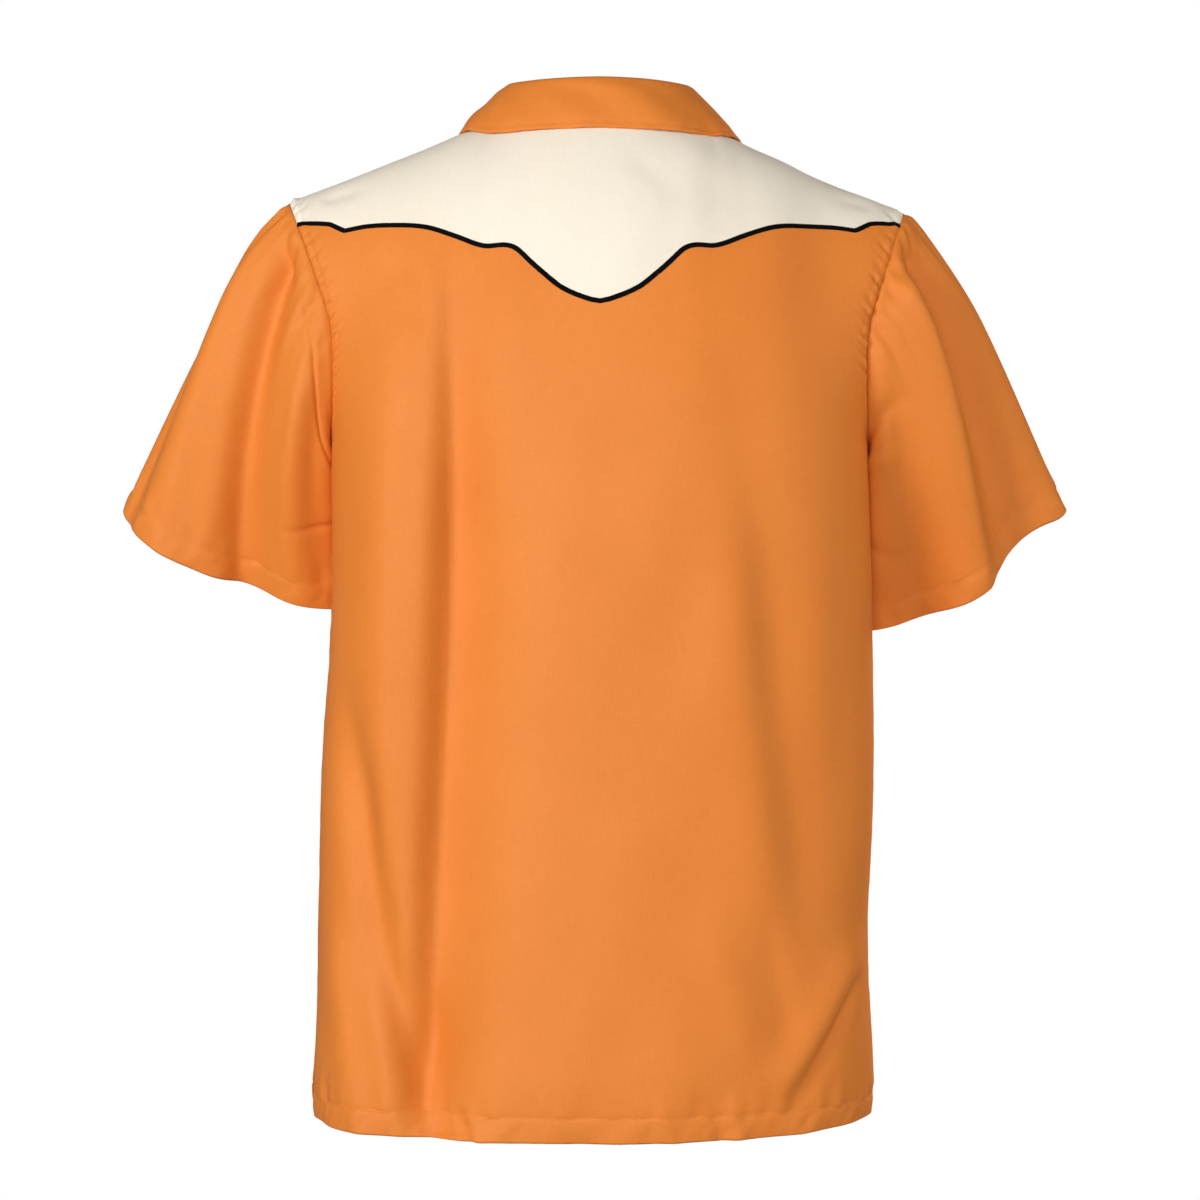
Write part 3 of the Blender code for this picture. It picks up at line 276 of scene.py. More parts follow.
# A fold runs from its top to its foot, bowed to one side. It stands out by its height, or in
# where that is below 0, over its width to each side, and lean makes one side wider.
Fold = namedtuple(
    "Fold", "top_x top_z foot_x foot_z bow top_width foot_width lean height fade_top fade_foot"
)
BACK_FOLDS = [
    Fold(0.014, -0.120, 0.010, -0.760, 0.000, 0.085, 0.090, 0.0, 0.0070, 0.40, 0.12),
    Fold(0.146, -0.100, 0.160, -0.640, 0.002, 0.021, 0.020, -0.2, 0.0085, 0.36, 0.25),
    Fold(0.106, -0.070, 0.134, -0.742, 0.0085, 0.021, 0.029, 0.55, -0.0215, 0.36, 0.14),
    Fold(0.193, -0.540, 0.169, -0.745, -0.002, 0.010, 0.014, -0.2, 0.0060, 0.45, 0.04),
    Fold(0.181, -0.390, 0.150, -0.660, -0.002, 0.013, 0.016, 0.2, -0.0145, 0.45, 0.30),
    Fold(0.157, -0.590, 0.118, -0.742, -0.004, 0.013, 0.021, 0.50, -0.0145, 0.40, 0.10),
    Fold(-0.066, -0.150, -0.123, -0.640, 0.002, 0.022, 0.023, -0.2, 0.0042, 0.40, 0.30),
    Fold(-0.102, -0.180, -0.157, -0.660, 0.000, 0.019, 0.020, 0.1, -0.0042, 0.40, 0.30),
    Fold(-0.190, -0.220, -0.192, -0.640, 0.000, 0.013, 0.014, 0.0, 0.0035, 0.30, 0.30),
    Fold(-0.192, -0.585, -0.120, -0.715, 0.003, 0.009, 0.014, -0.3, 0.0056, 0.25, 0.25),
    Fold(-0.190, -0.618, -0.125, -0.722, 0.003, 0.005, 0.009, -0.2, -0.0048, 0.20, 0.30),
    Fold(-0.110, -0.560, -0.138, -0.690, 0.002, 0.012, 0.014, -0.1, -0.0036, 0.40, 0.30),
    Fold(-0.070, -0.550, -0.108, -0.705, 0.002, 0.014, 0.016, -0.1, 0.0032, 0.40, 0.30),
    Fold(0.1060, -0.702, 0.0880, -0.742, 0.000, 0.0030, 0.0045, 0.0, -0.0030, 0.35, 0.05),
    Fold(0.1000, -0.702, 0.0810, -0.742, 0.000, 0.0030, 0.0045, 0.0, 0.0022, 0.35, 0.05),
    Fold(0.1430, -0.695, 0.1340, -0.742, 0.000, 0.0040, 0.0060, 0.0, -0.0024, 0.40, 0.08),
    Fold(-0.035, -0.690, -0.052, -0.740, 0.000, 0.0050, 0.0070, 0.0, 0.0024, 0.45, 0.10),
    Fold(-0.075, -0.692, -0.088, -0.740, 0.000, 0.0030, 0.0050, 0.0, -0.0022, 0.40, 0.06),
    Fold(-0.092, -0.696, -0.099, -0.742, 0.000, 0.0035, 0.0055, 0.0, 0.0030, 0.35, 0.05),
    Fold(0.156, -0.090, 0.128, -0.175, 0.001, 0.010, 0.014, 0.0, -0.0034, 0.35, 0.45),
    Fold(-0.012, -0.020, -0.070, -0.075, 0.001, 0.008, 0.012, 0.0, -0.0014, 0.35, 0.45),
    Fold(-0.040, -0.012, -0.110, -0.058, 0.001, 0.010, 0.014, 0.0, 0.0013, 0.35, 0.45),
    Fold(0.206, -0.060, 0.165, -0.048, 0.000, 0.004, 0.006, 0.0, -0.0014, 0.25, 0.50),
    Fold(-0.202, -0.066, -0.165, -0.054, 0.000, 0.004, 0.006, 0.0, -0.0014, 0.25, 0.50),
]
FRONT_FOLDS = [
    Fold(0.140, -0.130, 0.132, -0.800, 0.004, 0.020, 0.024, 0.2, -0.0125, 0.40, 0.10),
    Fold(0.098, -0.200, 0.086, -0.780, -0.003, 0.020, 0.026, -0.2, 0.0080, 0.40, 0.15),
    Fold(0.182, -0.480, 0.152, -0.770, 0.000, 0.012, 0.016, 0.0, 0.0070, 0.50, 0.05),
    Fold(-0.142, -0.140, -0.138, -0.800, -0.004, 0.018, 0.024, -0.2, -0.0125, 0.40, 0.10),
    Fold(-0.100, -0.230, -0.082, -0.780, 0.004, 0.022, 0.026, 0.2, 0.0080, 0.40, 0.15),
    Fold(-0.186, -0.500, -0.162, -0.770, 0.000, 0.012, 0.016, 0.0, 0.0070, 0.50, 0.05),
    Fold(-0.046, -0.330, -0.056, -0.760, 0.002, 0.013, 0.020, 0.0, -0.0034, 0.40, 0.20),
    Fold(0.050, -0.300, 0.046, -0.740, 0.002, 0.013, 0.020, 0.0, -0.0032, 0.40, 0.20),
    Fold(0.150, -0.120, 0.100, -0.220, 0.002, 0.010, 0.014, 0.0, -0.0026, 0.40, 0.45),
    Fold(-0.150, -0.120, -0.104, -0.230, -0.002, 0.010, 0.014, 0.0, -0.0026, 0.40, 0.45),
]
SEAM_FADE = 0.07
RIDGE_FADE = 0.12

# On a sleeve a fold's x is its turn in degrees from the shoulder point, and its z is along
SLEEVE_FOLDS = {
    LEFT: [
        Fold(34, -0.1, 106, 1.2, -0.001, 0.013, 0.016, -0.3, -0.0175, 0.20, 0.06),
        Fold(92, 0.0, 128, 1.2, 0.001, 0.014, 0.017, -0.2, 0.0085, 0.30, 0.08),
        Fold(14, 0.0, 58, 1.2, 0.0, 0.014, 0.017, 0.3, 0.0060, 0.30, 0.10),
        Fold(2, 0.1, 22, 1.2, 0.0, 0.012, 0.016, 0.0, -0.0060, 0.30, 0.10),
        Fold(60, 0.08, 162, 0.40, -0.012, 0.0034, 0.0048, 0.0, -0.0019, 0.25, 0.25),
        Fold(98, 0.78, 166, 0.53, -0.002, 0.0018, 0.0034, 0.3, -0.0017, 0.45, 0.10),
        Fold(146, 0.0, 150, 1.2, 0.0, 0.018, 0.020, 0.0, 0.0080, 0.30, 0.10),
        Fold(-40, 0.0, -75, 1.2, 0.0, 0.018, 0.020, 0.0, -0.0080, 0.35, 0.10),
        Fold(-95, 0.1, -120, 1.2, 0.0, 0.014, 0.018, 0.0, 0.0060, 0.35, 0.10),
    ],
    RIGHT: [
        Fold(56, -0.1, 81, 1.2, 0.001, 0.012, 0.014, -0.58, 0.0138, 0.20, 0.08),
        Fold(38, -0.1, 60, 1.2, 0.0, 0.016, 0.020, 0.30, -0.0170, 0.20, 0.06),
        Fold(4, 0.1, 6, 1.2, 0.0, 0.012, 0.014, 0.0, 0.0040, 0.30, 0.10),
        Fold(104, 0.1, 112, 1.2, 0.0, 0.015, 0.019, 0.0, -0.0045, 0.35, 0.15),
        Fold(78, 0.40, 158, 0.02, 0.002, 0.0060, 0.0090, 0.0, -0.0024, 0.50, 0.35),
        Fold(96, 0.50, 166, 0.18, 0.002, 0.0050, 0.0080, 0.0, 0.0018, 0.50, 0.30),
        Fold(112, 0.78, 164, 0.52, 0.002, 0.0030, 0.0060, 0.2, -0.0022, 0.60, 0.12),
        Fold(146, 0.0, 150, 1.2, 0.0, 0.018, 0.020, 0.0, 0.0070, 0.30, 0.10),
        Fold(-45, 0.0, -80, 1.2, 0.0, 0.018, 0.020, 0.0, -0.0080, 0.35, 0.10),
        Fold(-100, 0.1, -118, 1.2, 0.0, 0.014, 0.018, 0.0, 0.0060, 0.35, 0.10),
    ],
}
DEGREE_ROUND_SLEEVE = 0.0011
SLEEVE_LENGTH = 0.25

# ------------------------------------------------------------ arrays of places and points


def point(x, y, z):
    """Arrays of coordinates as one array of points."""
    return np.stack(np.broadcast_arrays(x, y, z), axis=-1).astype(float)


def unit(vectors):
    return vectors / np.maximum(np.linalg.norm(vectors, axis=-1, keepdims=True), 1e-12)


def ease(t):
    t = np.clip(t, 0.0, 1.0)
    return t * t * (3 - 2 * t)


def bell(distance, width):
    """1 at no distance, fading on both sides to nothing at about twice the width."""
    return np.exp(-((distance / width) ** 2))


def slopes_through(keys, values):
    """The slope of a smooth curve at each of its keys, from the keys on both sides."""
    places = np.arange(len(keys))
    low = np.maximum(places - 1, 0)
    high = np.minimum(places + 1, len(keys) - 1)
    spans = (keys[high] - keys[low]).reshape((-1,) + (1,) * (values.ndim - 1))
    return (values[high] - values[low]) / spans


def hermite(keys, values, leaving, arriving, at):
    """A smooth curve through keys and values, with its slopes on each side of every key."""
    at = np.clip(at, keys[0], keys[-1])
    i = np.clip(np.searchsorted(keys, at) - 1, 0, len(keys) - 2)
    spread = (...,) + (None,) * (values.ndim - 1)
    span = (keys[i + 1] - keys[i])[spread]
    t = (at - keys[i])[spread] / span
    return (
        (1 + 2 * t) * (1 - t) ** 2 * values[i]
        + t * (1 - t) ** 2 * span * leaving[i]
        + t * t * (3 - 2 * t) * values[i + 1]
        + t * t * (t - 1) * span * arriving[i + 1]
    )


def curve(table, column, at):
    """One column of a table at places between its rows, along a smooth curve."""
    keys = np.array([row[0] for row in table])
    values = np.array([getattr(row, column) for row in table])
    slopes = slopes_through(keys, values)
    return hermite(keys, values, slopes, slopes, at)


def solve(value, low, high, shape):
    """The places between low and high where a steadily growing value passes zero."""
    low = np.full(shape, float(low))
    high = np.full(shape, float(high))
    for _ in range(36):
        middle = (low + high) / 2
        below = value(middle) < 0
        low = np.where(below, middle, low)
        high = np.where(below, high, middle)
    return (low + high) / 2


def grid_normals(points, outward):
    """Unit normals of a grid of points; outward is 1 or -1."""
    along = np.gradient(points, axis=1)
    up = np.gradient(points, axis=0)
    return unit(np.cross(along, up)) * outward


def lengths_along(points, axis):
    """The distance of each point of a grid from its row's or column's first point."""
    steps = np.linalg.norm(np.diff(points, axis=axis), axis=-1)
    start = np.zeros_like(np.take(steps, [0], axis=axis))
    return np.concatenate([start, np.cumsum(steps, axis=axis)], axis=axis)


def read_along(run, values, at):
    """Points or normals of a path, read at distances along its run."""
    return np.stack([np.interp(at, run, values[:, k]) for k in range(3)], -1)


def grid_quads(rows, columns, first):
    """The corners of each square of a grid whose points are numbered on from first."""
    index = np.arange(rows * columns).reshape(rows, columns) + first
    quads = np.stack([index[:-1, :-1], index[:-1, 1:], index[1:, 1:], index[1:, :-1]], -1)
    return quads.reshape(-1, 4)


# ------------------------------------------------------------ the trunk's surface


def ring(height, angle, face):
    width = np.where(angle > 0, curve(TRUNK, "left", height), curve(TRUNK, "right", height))
    depth = curve(TRUNK, "back" if face == BACK else "front", height)
    power = 2 / SQUARENESS
    across = np.sign(angle) * width * np.abs(np.sin(angle)) ** power
    out = depth * np.maximum(np.cos(angle), 0.0) ** power
    return point(across, face * out, height)


def shoulder_ridge(side, share):
    def by_side(name):
        return np.where(side > 0, getattr(SHOULDERS[LEFT], name), getattr(SHOULDERS[RIGHT], name))

    across = by_side("neck_x") + (by_side("point_x") - by_side("neck_x")) * share
    height = by_side("neck_z") + (by_side("point_z") - by_side("neck_z")) * share
    return point(side * across, 0.0, height - by_side("sag") * np.sin(np.pi * share))


def armhole_height_share(hole_angle):
    return (1 - np.cos(hole_angle)) / 2


def armhole(side, face, hole_angle):
    """The armhole's edge: angle 0 is the armpit, a half turn is the shoulder point."""
    share = armhole_height_share(hole_angle)
    tip = shoulder_ridge(side, 1.0)
    narrower = (SHOULDERS[LEFT].point_x - np.abs(tip[..., 0])) * share**3
    scoop = np.where(face == FRONT, FRONT_SCOOP * np.sin(hole_angle), 0.0)
    across = curve(ARMHOLE, "across", share) - narrower - scoop
    height = ARMPIT_HEIGHT + (tip[..., 2] - ARMPIT_HEIGHT) * share
    return point(side * across, face * ARMHOLE_DEPTH * np.sin(hole_angle), height)


def yoke_front_seam(side, share):
    """The seam of the yoke with a front, from the neckline to the armhole."""
    ridge = shoulder_ridge(side, share)
    tip = shoulder_ridge(side, 1.0)
    end = armhole(side, FRONT, YOKE_SEAM_ANGLE)
    inward = np.abs(tip[..., 0]) - np.abs(end[..., 0])
    at_tip = point(inward, np.abs(end[..., 1]), tip[..., 2] - end[..., 2])
    offset = YOKE_AT_NECK + (at_tip - YOKE_AT_NECK) * np.asarray(share)[..., None]
    return ridge - offset * point(side, 1.0, 1.0)


def crown(angle, face):
    """The trunk's top edge: the neckline, then the seam or ridge along the shoulder."""
    angle = np.asarray(angle, float)
    side = np.where(angle >= 0, LEFT, RIGHT)
    turned = np.abs(angle)
    edge = shoulder_ridge if face == BACK else yoke_front_seam
    share = np.clip((turned - NECK_ANGLE) / (QUARTER - NECK_ANGLE), 0, 1)
    shoulder = edge(side, share)
    end = edge(side, np.zeros_like(turned))
    centre = NECK_BACK if face == BACK else NECK_FRONT
    quarter = np.clip(turned / NECK_ANGLE, 0, 1) * QUARTER
    fall = np.cos(quarter)
    neck = point(
        end[..., 0] * np.sin(quarter),
        end[..., 1] + (centre[1] - end[..., 1]) * fall,
        end[..., 2] + (centre[2] - end[..., 2]) * fall,
    )
    return np.where((turned >= NECK_ANGLE)[..., None], shoulder, neck)


def dome(angle, rise, face):
    """The trunk above the armpits: it rises upright and bends over towards the crown."""
    foot = ring(np.full(np.shape(angle), ARMPIT_HEIGHT), angle, face)
    top = crown(angle, face)
    shoulder_end = 1.0 if face == BACK else SHOULDER_ENDS_AT
    bend = ease(np.abs(angle) / NECK_ANGLE - SHOULDER_BEND_STARTS)
    end = QUARTER * (NECK_ENDS_AT + (shoulder_end - NECK_ENDS_AT) * bend)
    level = (np.cos(end * rise) - np.cos(end)) / (1 - np.cos(end))
    lift = np.sin(end * rise) / np.sin(end)
    points = top + (foot - top) * level[..., None]
    points[..., 2] = foot[..., 2] + (top[..., 2] - foot[..., 2]) * lift
    return points


def hole_angle_at(rise, face):
    end = QUARTER * (1.0 if face == BACK else SHOULDER_ENDS_AT)
    top_share = 1.0 if face == BACK else armhole_height_share(YOKE_SEAM_ANGLE)
    share = np.sin(end * rise) / np.sin(end) * top_share
    return np.arccos(np.clip(1 - 2 * share, -1.0, 1.0))


def widest_angle(hole_angle, face):
    end = math.pi if face == BACK else YOKE_SEAM_ANGLE
    return QUARTER - ARMHOLE_NARROWING * np.sin(np.pi * hole_angle / end)


def smooth_trunk(across, rise, face):
    """The trunk's surface before its folds, at arrays of places."""
    across, rise = np.broadcast_arrays(np.asarray(across, float), np.asarray(rise, float))
    height = ARMPIT_HEIGHT + np.minimum(rise, 0) * (ARMPIT_HEIGHT - HEM_HEIGHT)
    below = ring(height, across * QUARTER, face)
    side = np.where(across >= 0, LEFT, RIGHT)
    upper = np.clip(rise, 0, 1)
    hole_angle = hole_angle_at(upper, face)
    widest = widest_angle(hole_angle, face)
    edge = armhole(side, face, hole_angle) - dome(side * widest, upper, face)
    above = dome(across * widest, upper, face) + edge * (np.abs(across) ** ARMHOLE_FLARE)[..., None]
    return np.where((rise <= 0)[..., None], below, above)


def fold_depth(folds, x, z, x_scale=1.0, z_scale=1.0):
    """How far the cloth stands out at places, from soft ridges and troughs with uneven sides."""
    x, z = np.broadcast_arrays(x, z)
    total = np.zeros(x.shape)
    for fold in folds:
        run_x = (fold.foot_x - fold.top_x) * x_scale
        run_z = (fold.foot_z - fold.top_z) * z_scale
        length = math.hypot(run_x, run_z)
        from_x = x - fold.top_x * x_scale
        from_z = z - fold.top_z * z_scale
        along = (from_x * run_x + from_z * run_z) / length**2
        aside = (from_x * run_z - from_z * run_x) / length - fold.bow * 4 * along * (1 - along)
        width = fold.top_width + (fold.foot_width - fold.top_width) * np.clip(along, 0, 1)
        width = width * (1 + fold.lean * np.sign(aside))
        ends = ease(along / fold.fade_top) * ease((1 - along) / fold.fade_foot)
        total += fold.height * ends * bell(aside, width)
    return total


def waves(at, kind, seed):
    """Uneven waves of about one height: several lengths that start where the seed says."""
    starts = np.random.default_rng(seed).uniform(0, 2 * np.pi, len(kind.lengths))
    total = sum(np.sin(2 * np.pi * at / w + s) for w, s in zip(kind.lengths, starts))
    return kind.height * (total / math.sqrt(len(kind.lengths)))


def crumple(x, z, seed):
    """The slight unevenness of hanging cloth: long upright waves of many widths, about -1 to 1."""
    chance = np.random.default_rng(seed)
    x, z = np.broadcast_arrays(x, z)
    total = np.zeros(x.shape)
    for _ in range(CRUMPLE_WAVES):
        width = chance.uniform(0.050, 0.140)
        height = chance.uniform(0.20, 0.70)
        start = chance.uniform(0, 2 * np.pi)
        turn = chance.choice((-1, 1))
        total += np.sin(2 * np.pi * (x / width + turn * z / height) + start) * width
    mean_width = 0.095
    return total / (mean_width * math.sqrt(CRUMPLE_WAVES / 2))


def trunk_depth(points, across, rise, face):
    """The folds of the trunk, which fade towards its side seams, armholes and ridges."""
    folds = BACK_FOLDS if face == BACK else FRONT_FOLDS
    x = points[..., 0]
    z = points[..., 2]
    seed = SEEDS["back_crumple" if face == BACK else "front_crumple"]
    slight = BODY_CRUMPLE * crumple(x, z, seed)
    fade = ease((1 - np.abs(across)) / SEAM_FADE) * ease((1 - rise) / RIDGE_FADE)
    return (fold_depth(folds, x, z) + slight) * fade


def on_trunk(across, rise, face, lift=0.0):
    """Points on the folded trunk and its normals, at arrays of places."""
    step = 0.004
    points = smooth_trunk(across, rise, face)
    inner = np.clip(across, step - 1, 1 - step)
    low = np.minimum(rise, 1 - step)
    here = smooth_trunk(inner, low, face)
    along = smooth_trunk(inner + step, low, face) - here
    up = smooth_trunk(inner, low + step, face) - here
    normals = unit(np.cross(along, up)) * -face
    depth = trunk_depth(points, across, rise, face) + lift
    return points + normals * np.asarray(depth)[..., None], normals


def rise_at_height(across, height, face):
    across = np.asarray(across, float)
    return solve(lambda r: smooth_trunk(across, r, face)[..., 2] - height, -1, 1, np.shape(across))


def place_on(x, height, face):
    """The across and rise of places seen at x and a height from straight behind or ahead."""
    step = 1e-4
    first_guess = 0.97 / TRUNK[0].left
    across = np.asarray(x, float) * first_guess
    rise = rise_at_height(across, height, face)
    for _ in range(12):
        here = smooth_trunk(across, rise, face)
        aside = (smooth_trunk(across + step, rise, face) - here) / step
        up = (smooth_trunk(across, rise + step, face) - here) / step
        miss_x = x - here[..., 0]
        miss_z = height - here[..., 2]
        area = aside[..., 0] * up[..., 2] - up[..., 0] * aside[..., 2]
        across = across + (miss_x * up[..., 2] - up[..., 0] * miss_z) / area
        rise = rise + (aside[..., 0] * miss_z - miss_x * aside[..., 2]) / area
        across = np.clip(across, -1.0, 1.0 - step)
        rise = np.clip(rise, -1.0, 1.0 - step)
    return across, rise


# ------------------------------------------------------------ the sleeves' surface


def sleeve_flow(side, face, hole_angle, end):
    top, back, pit, front = [np.array(getattr(flow, end)) for flow in SLEEVE_FLOW.values()]
    middle = np.where((face == BACK)[..., None], back, front)
    upper = armhole_height_share(hole_angle)[..., None]
    bulge = (middle - (top + pit) / 2) * np.sin(hole_angle)[..., None]
    return (top * upper + pit * (1 - upper) + bulge) * np.array((side, 1, 1))


def sleeve_hem(side, face, hole_angle):
    hem = SLEEVE_HEMS[side]
    outer = np.array(hem.outer)
    inner = np.array(hem.inner)
    short_half = unit(np.array((0, 1, -hem.tilt))) * hem.depth
    points = (
        (outer + inner) / 2
        - (outer - inner) / 2 * np.cos(hole_angle)[..., None]
        + short_half * (face * np.sin(hole_angle))[..., None]
    )
    from_wave = face * (math.pi - hole_angle) - HEM_WAVE_AROUND
    points[..., 2] += hem.wave * bell(from_wave, HEM_WAVE_HALF_WIDTH)
    return points * np.array((side, 1, 1))


def smooth_sleeve(side, turn, along):
    """A sleeve's surface before its folds: turn runs from the armpit over the back and top."""
    turn, along = np.broadcast_arrays(turn, along)
    face = np.where(turn <= math.pi, BACK, FRONT)
    hole_angle = np.where(turn <= math.pi, turn, 2 * math.pi - turn)
    t = along[..., None]
    return (
        armhole(side, face, hole_angle) * ((1 + 2 * t) * (1 - t) ** 2)
        + sleeve_flow(side, face, hole_angle, "leaving") * (t * (1 - t) ** 2)
        + sleeve_hem(side, face, hole_angle) * (t * t * (3 - 2 * t))
        + sleeve_flow(side, face, hole_angle, "arriving") * (t * t * (t - 1))
    )


# ------------------------------------------------------------ materials


def linear(hex_colour):
    """An sRGB hex colour as linear red, green, blue and alpha."""
    channels = [int(hex_colour[i : i + 2], 16) / 255 for i in (1, 3, 5)]
    return [c / 12.92 if c <= 0.04045 else ((c + 0.055) / 1.055) ** 2.4 for c in channels] + [1.0]


def add(tree, kind, inputs, **settings):
    """Adds a node with its settings; an input is a value, or a node and its output's name."""
    node = tree.nodes.new(kind)
    for name, value in settings.items():
        setattr(node, name, value)
    for name, value in inputs.items():
        if isinstance(value, tuple) and isinstance(value[0], bpy.types.Node):
            tree.links.new(value[0].outputs[value[1]], node.inputs[name])
        else:
            node.inputs[name].default_value = value
    return node


def new_material(name):
    made = bpy.data.materials.new(name)
    made.use_nodes = True
    made.node_tree.nodes.clear()
    return made


def mixed(tree, share, light, dark):
    """A colour between light and dark, by the share that a node gives."""
    return add(
        tree,
        "ShaderNodeMix",
        {0: share, 6: linear(light), 7: linear(dark)},
        data_type="RGBA",
    )


def bump(tree, height, strength, distance, below=None):
    inputs = {"Height": (height, 0), "Strength": strength, "Distance": distance}
    if below:
        inputs["Normal"] = (below, "Normal")
    return add(tree, "ShaderNodeBump", inputs)


DRAWN_THREAD = 0.0006


def cotton(name, light, dark, glow, roughness=0.64, specular=0.46, thin=0.08):
    """Plain-woven cotton blend: a soft satin light on a matte cloth, slubs along both threads,
    faint creases, and a little light that passes through it.

    A thread is 0.25 mm in the real cloth, and is drawn at 0.6 mm so that it shows.
    """
    made = new_material(name)
    tree = made.node_tree
    metres = add(tree, "ShaderNodeUVMap", {}, uv_map="cloth")
    split = add(tree, "ShaderNodeSeparateXYZ", {0: (metres, "UV")})

    def combined(operation, first, second):
        return add(tree, "ShaderNodeMath", {0: first, 1: second}, operation=operation)

    def threads(axis):
        phase = combined("MULTIPLY", (split, axis), math.pi / DRAWN_THREAD)
        return add(tree, "ShaderNodeMath", {0: (phase, 0)}, operation="SINE")

    def noise(scale, stretch, detail):
        place = add(tree, "ShaderNodeMapping", {"Vector": (metres, "UV"), "Scale": stretch})
        return add(
            tree,
            "ShaderNodeTexNoise",
            {"Vector": (place, "Vector"), "Scale": scale, "Detail": detail, "Roughness": 0.55},
        )

    weave = combined("MULTIPLY", (threads("X"), 0), (threads("Y"), 0))
    slubs_across = noise(1.0, (90.0, 1500.0, 1.0), 2.0)
    slubs_down = noise(1.0, (1500.0, 70.0, 1.0), 2.0)
    dye = noise(9.0, (1.0, 1.0, 1.0), 2.0)
    crease = noise(40.0, (1.0, 0.6, 1.0), 3.0)
    slubs = combined("ADD", (slubs_across, 0), (slubs_down, 0))
    mottle = combined("ADD", (dye, 0), (slubs, 0))
    shade = add(
        tree,
        "ShaderNodeMapRange",
        {"Value": (mottle, 0), "From Min": 1.1, "From Max": 1.9, "To Min": 0.0, "To Max": 1.0},
    )
    woven = bump(tree, weave, 0.16, 0.0002)
    slubbed = bump(tree, slubs, 0.20, 0.0003, woven)
    creased = bump(tree, crease, 0.22, 0.0010, slubbed)
    shader = add(
        tree,
        "ShaderNodeBsdfPrincipled",
        {
            "Base Color": (mixed(tree, (shade, "Result"), light, dark), 2),
            "Roughness": roughness,
            "IOR": 1.46,
            "Specular IOR Level": specular,
            "Normal": (creased, "Normal"),
        },
    )
    through = add(
        tree,
        "ShaderNodeBsdfTranslucent",
        {"Color": linear(glow), "Normal": (creased, "Normal")},
    )
    both = add(tree, "ShaderNodeMixShader", {0: thin, 1: (shader, "BSDF"), 2: (through, "BSDF")})
    add(tree, "ShaderNodeOutputMaterial", {"Surface": (both, "Shader")})
    return made


def spun_thread(name, colour):
    """Spun polyester sewing thread: twisted plies that catch a little light."""
    made = new_material(name)
    tree = made.node_tree
    place = add(tree, "ShaderNodeTexCoord", {})
    plies = add(
        tree,
        "ShaderNodeTexNoise",
        {"Vector": (place, "Object"), "Scale": 2600.0, "Detail": 1.0},
    )
    shader = add(
        tree,
        "ShaderNodeBsdfPrincipled",
        {
            "Base Color": linear(colour),
            "Roughness": 0.55,
            "Sheen Weight": 0.2,
            "Normal": (bump(tree, plies, 0.3, 0.0001), "Normal"),
        },
    )
    add(tree, "ShaderNodeOutputMaterial", {"Surface": (shader, "BSDF")})
    return made


def cast_polyester(name, light, dark):
    """A dyed button cut from cast polyester sheet and tumbled: clouded colour, polished rim."""
    made = new_material(name)
    tree = made.node_tree
    place = add(tree, "ShaderNodeTexCoord", {})
    clouds = add(
        tree,
        "ShaderNodeTexNoise",
        {"Vector": (place, "Object"), "Scale": 420.0, "Detail": 3.0, "Distortion": 1.2},
    )
    shader = add(
        tree,
        "ShaderNodeBsdfPrincipled",
        {
            "Base Color": (mixed(tree, (clouds, 0), light, dark), 2),
            "Roughness": 0.28,
            "IOR": 1.55,
            "Coat Weight": 0.35,
            "Coat Roughness": 0.12,
        },
    )
    add(tree, "ShaderNodeOutputMaterial", {"Surface": (shader, "BSDF")})
    return made


orange_cotton = cotton("orange_poplin", "#e78530", "#dd7b27", "#ea7f30")
cream_cotton = cotton("cream_poplin", "#f5ebda", "#efe3cf", "#fbeedb")
black_tape = cotton(
    "black_flat_tape", "#070707", "#040404", "#060606", roughness=0.9, specular=0.1, thin=0.0
)
orange_thread = spun_thread("orange_sewing_thread", "#e6822f")
button_resin = cast_polyester("orange_button_resin", "#d9762f", "#c4621f")

# ------------------------------------------------------------ cloth meshes

Grid = namedtuple("Grid", "points depth flip")


def weld(corners, quads):
    """Joins corners that touch: the places kept, each face's places, and the quads left."""
    _, keep, welded = np.unique(
        np.round(corners, 6), axis=0, return_index=True, return_inverse=True
    )
    faces = welded.ravel()[quads]
    whole = np.array([len(set(face)) >= 3 for face in faces])
    return keep, faces[whole], quads[whole]


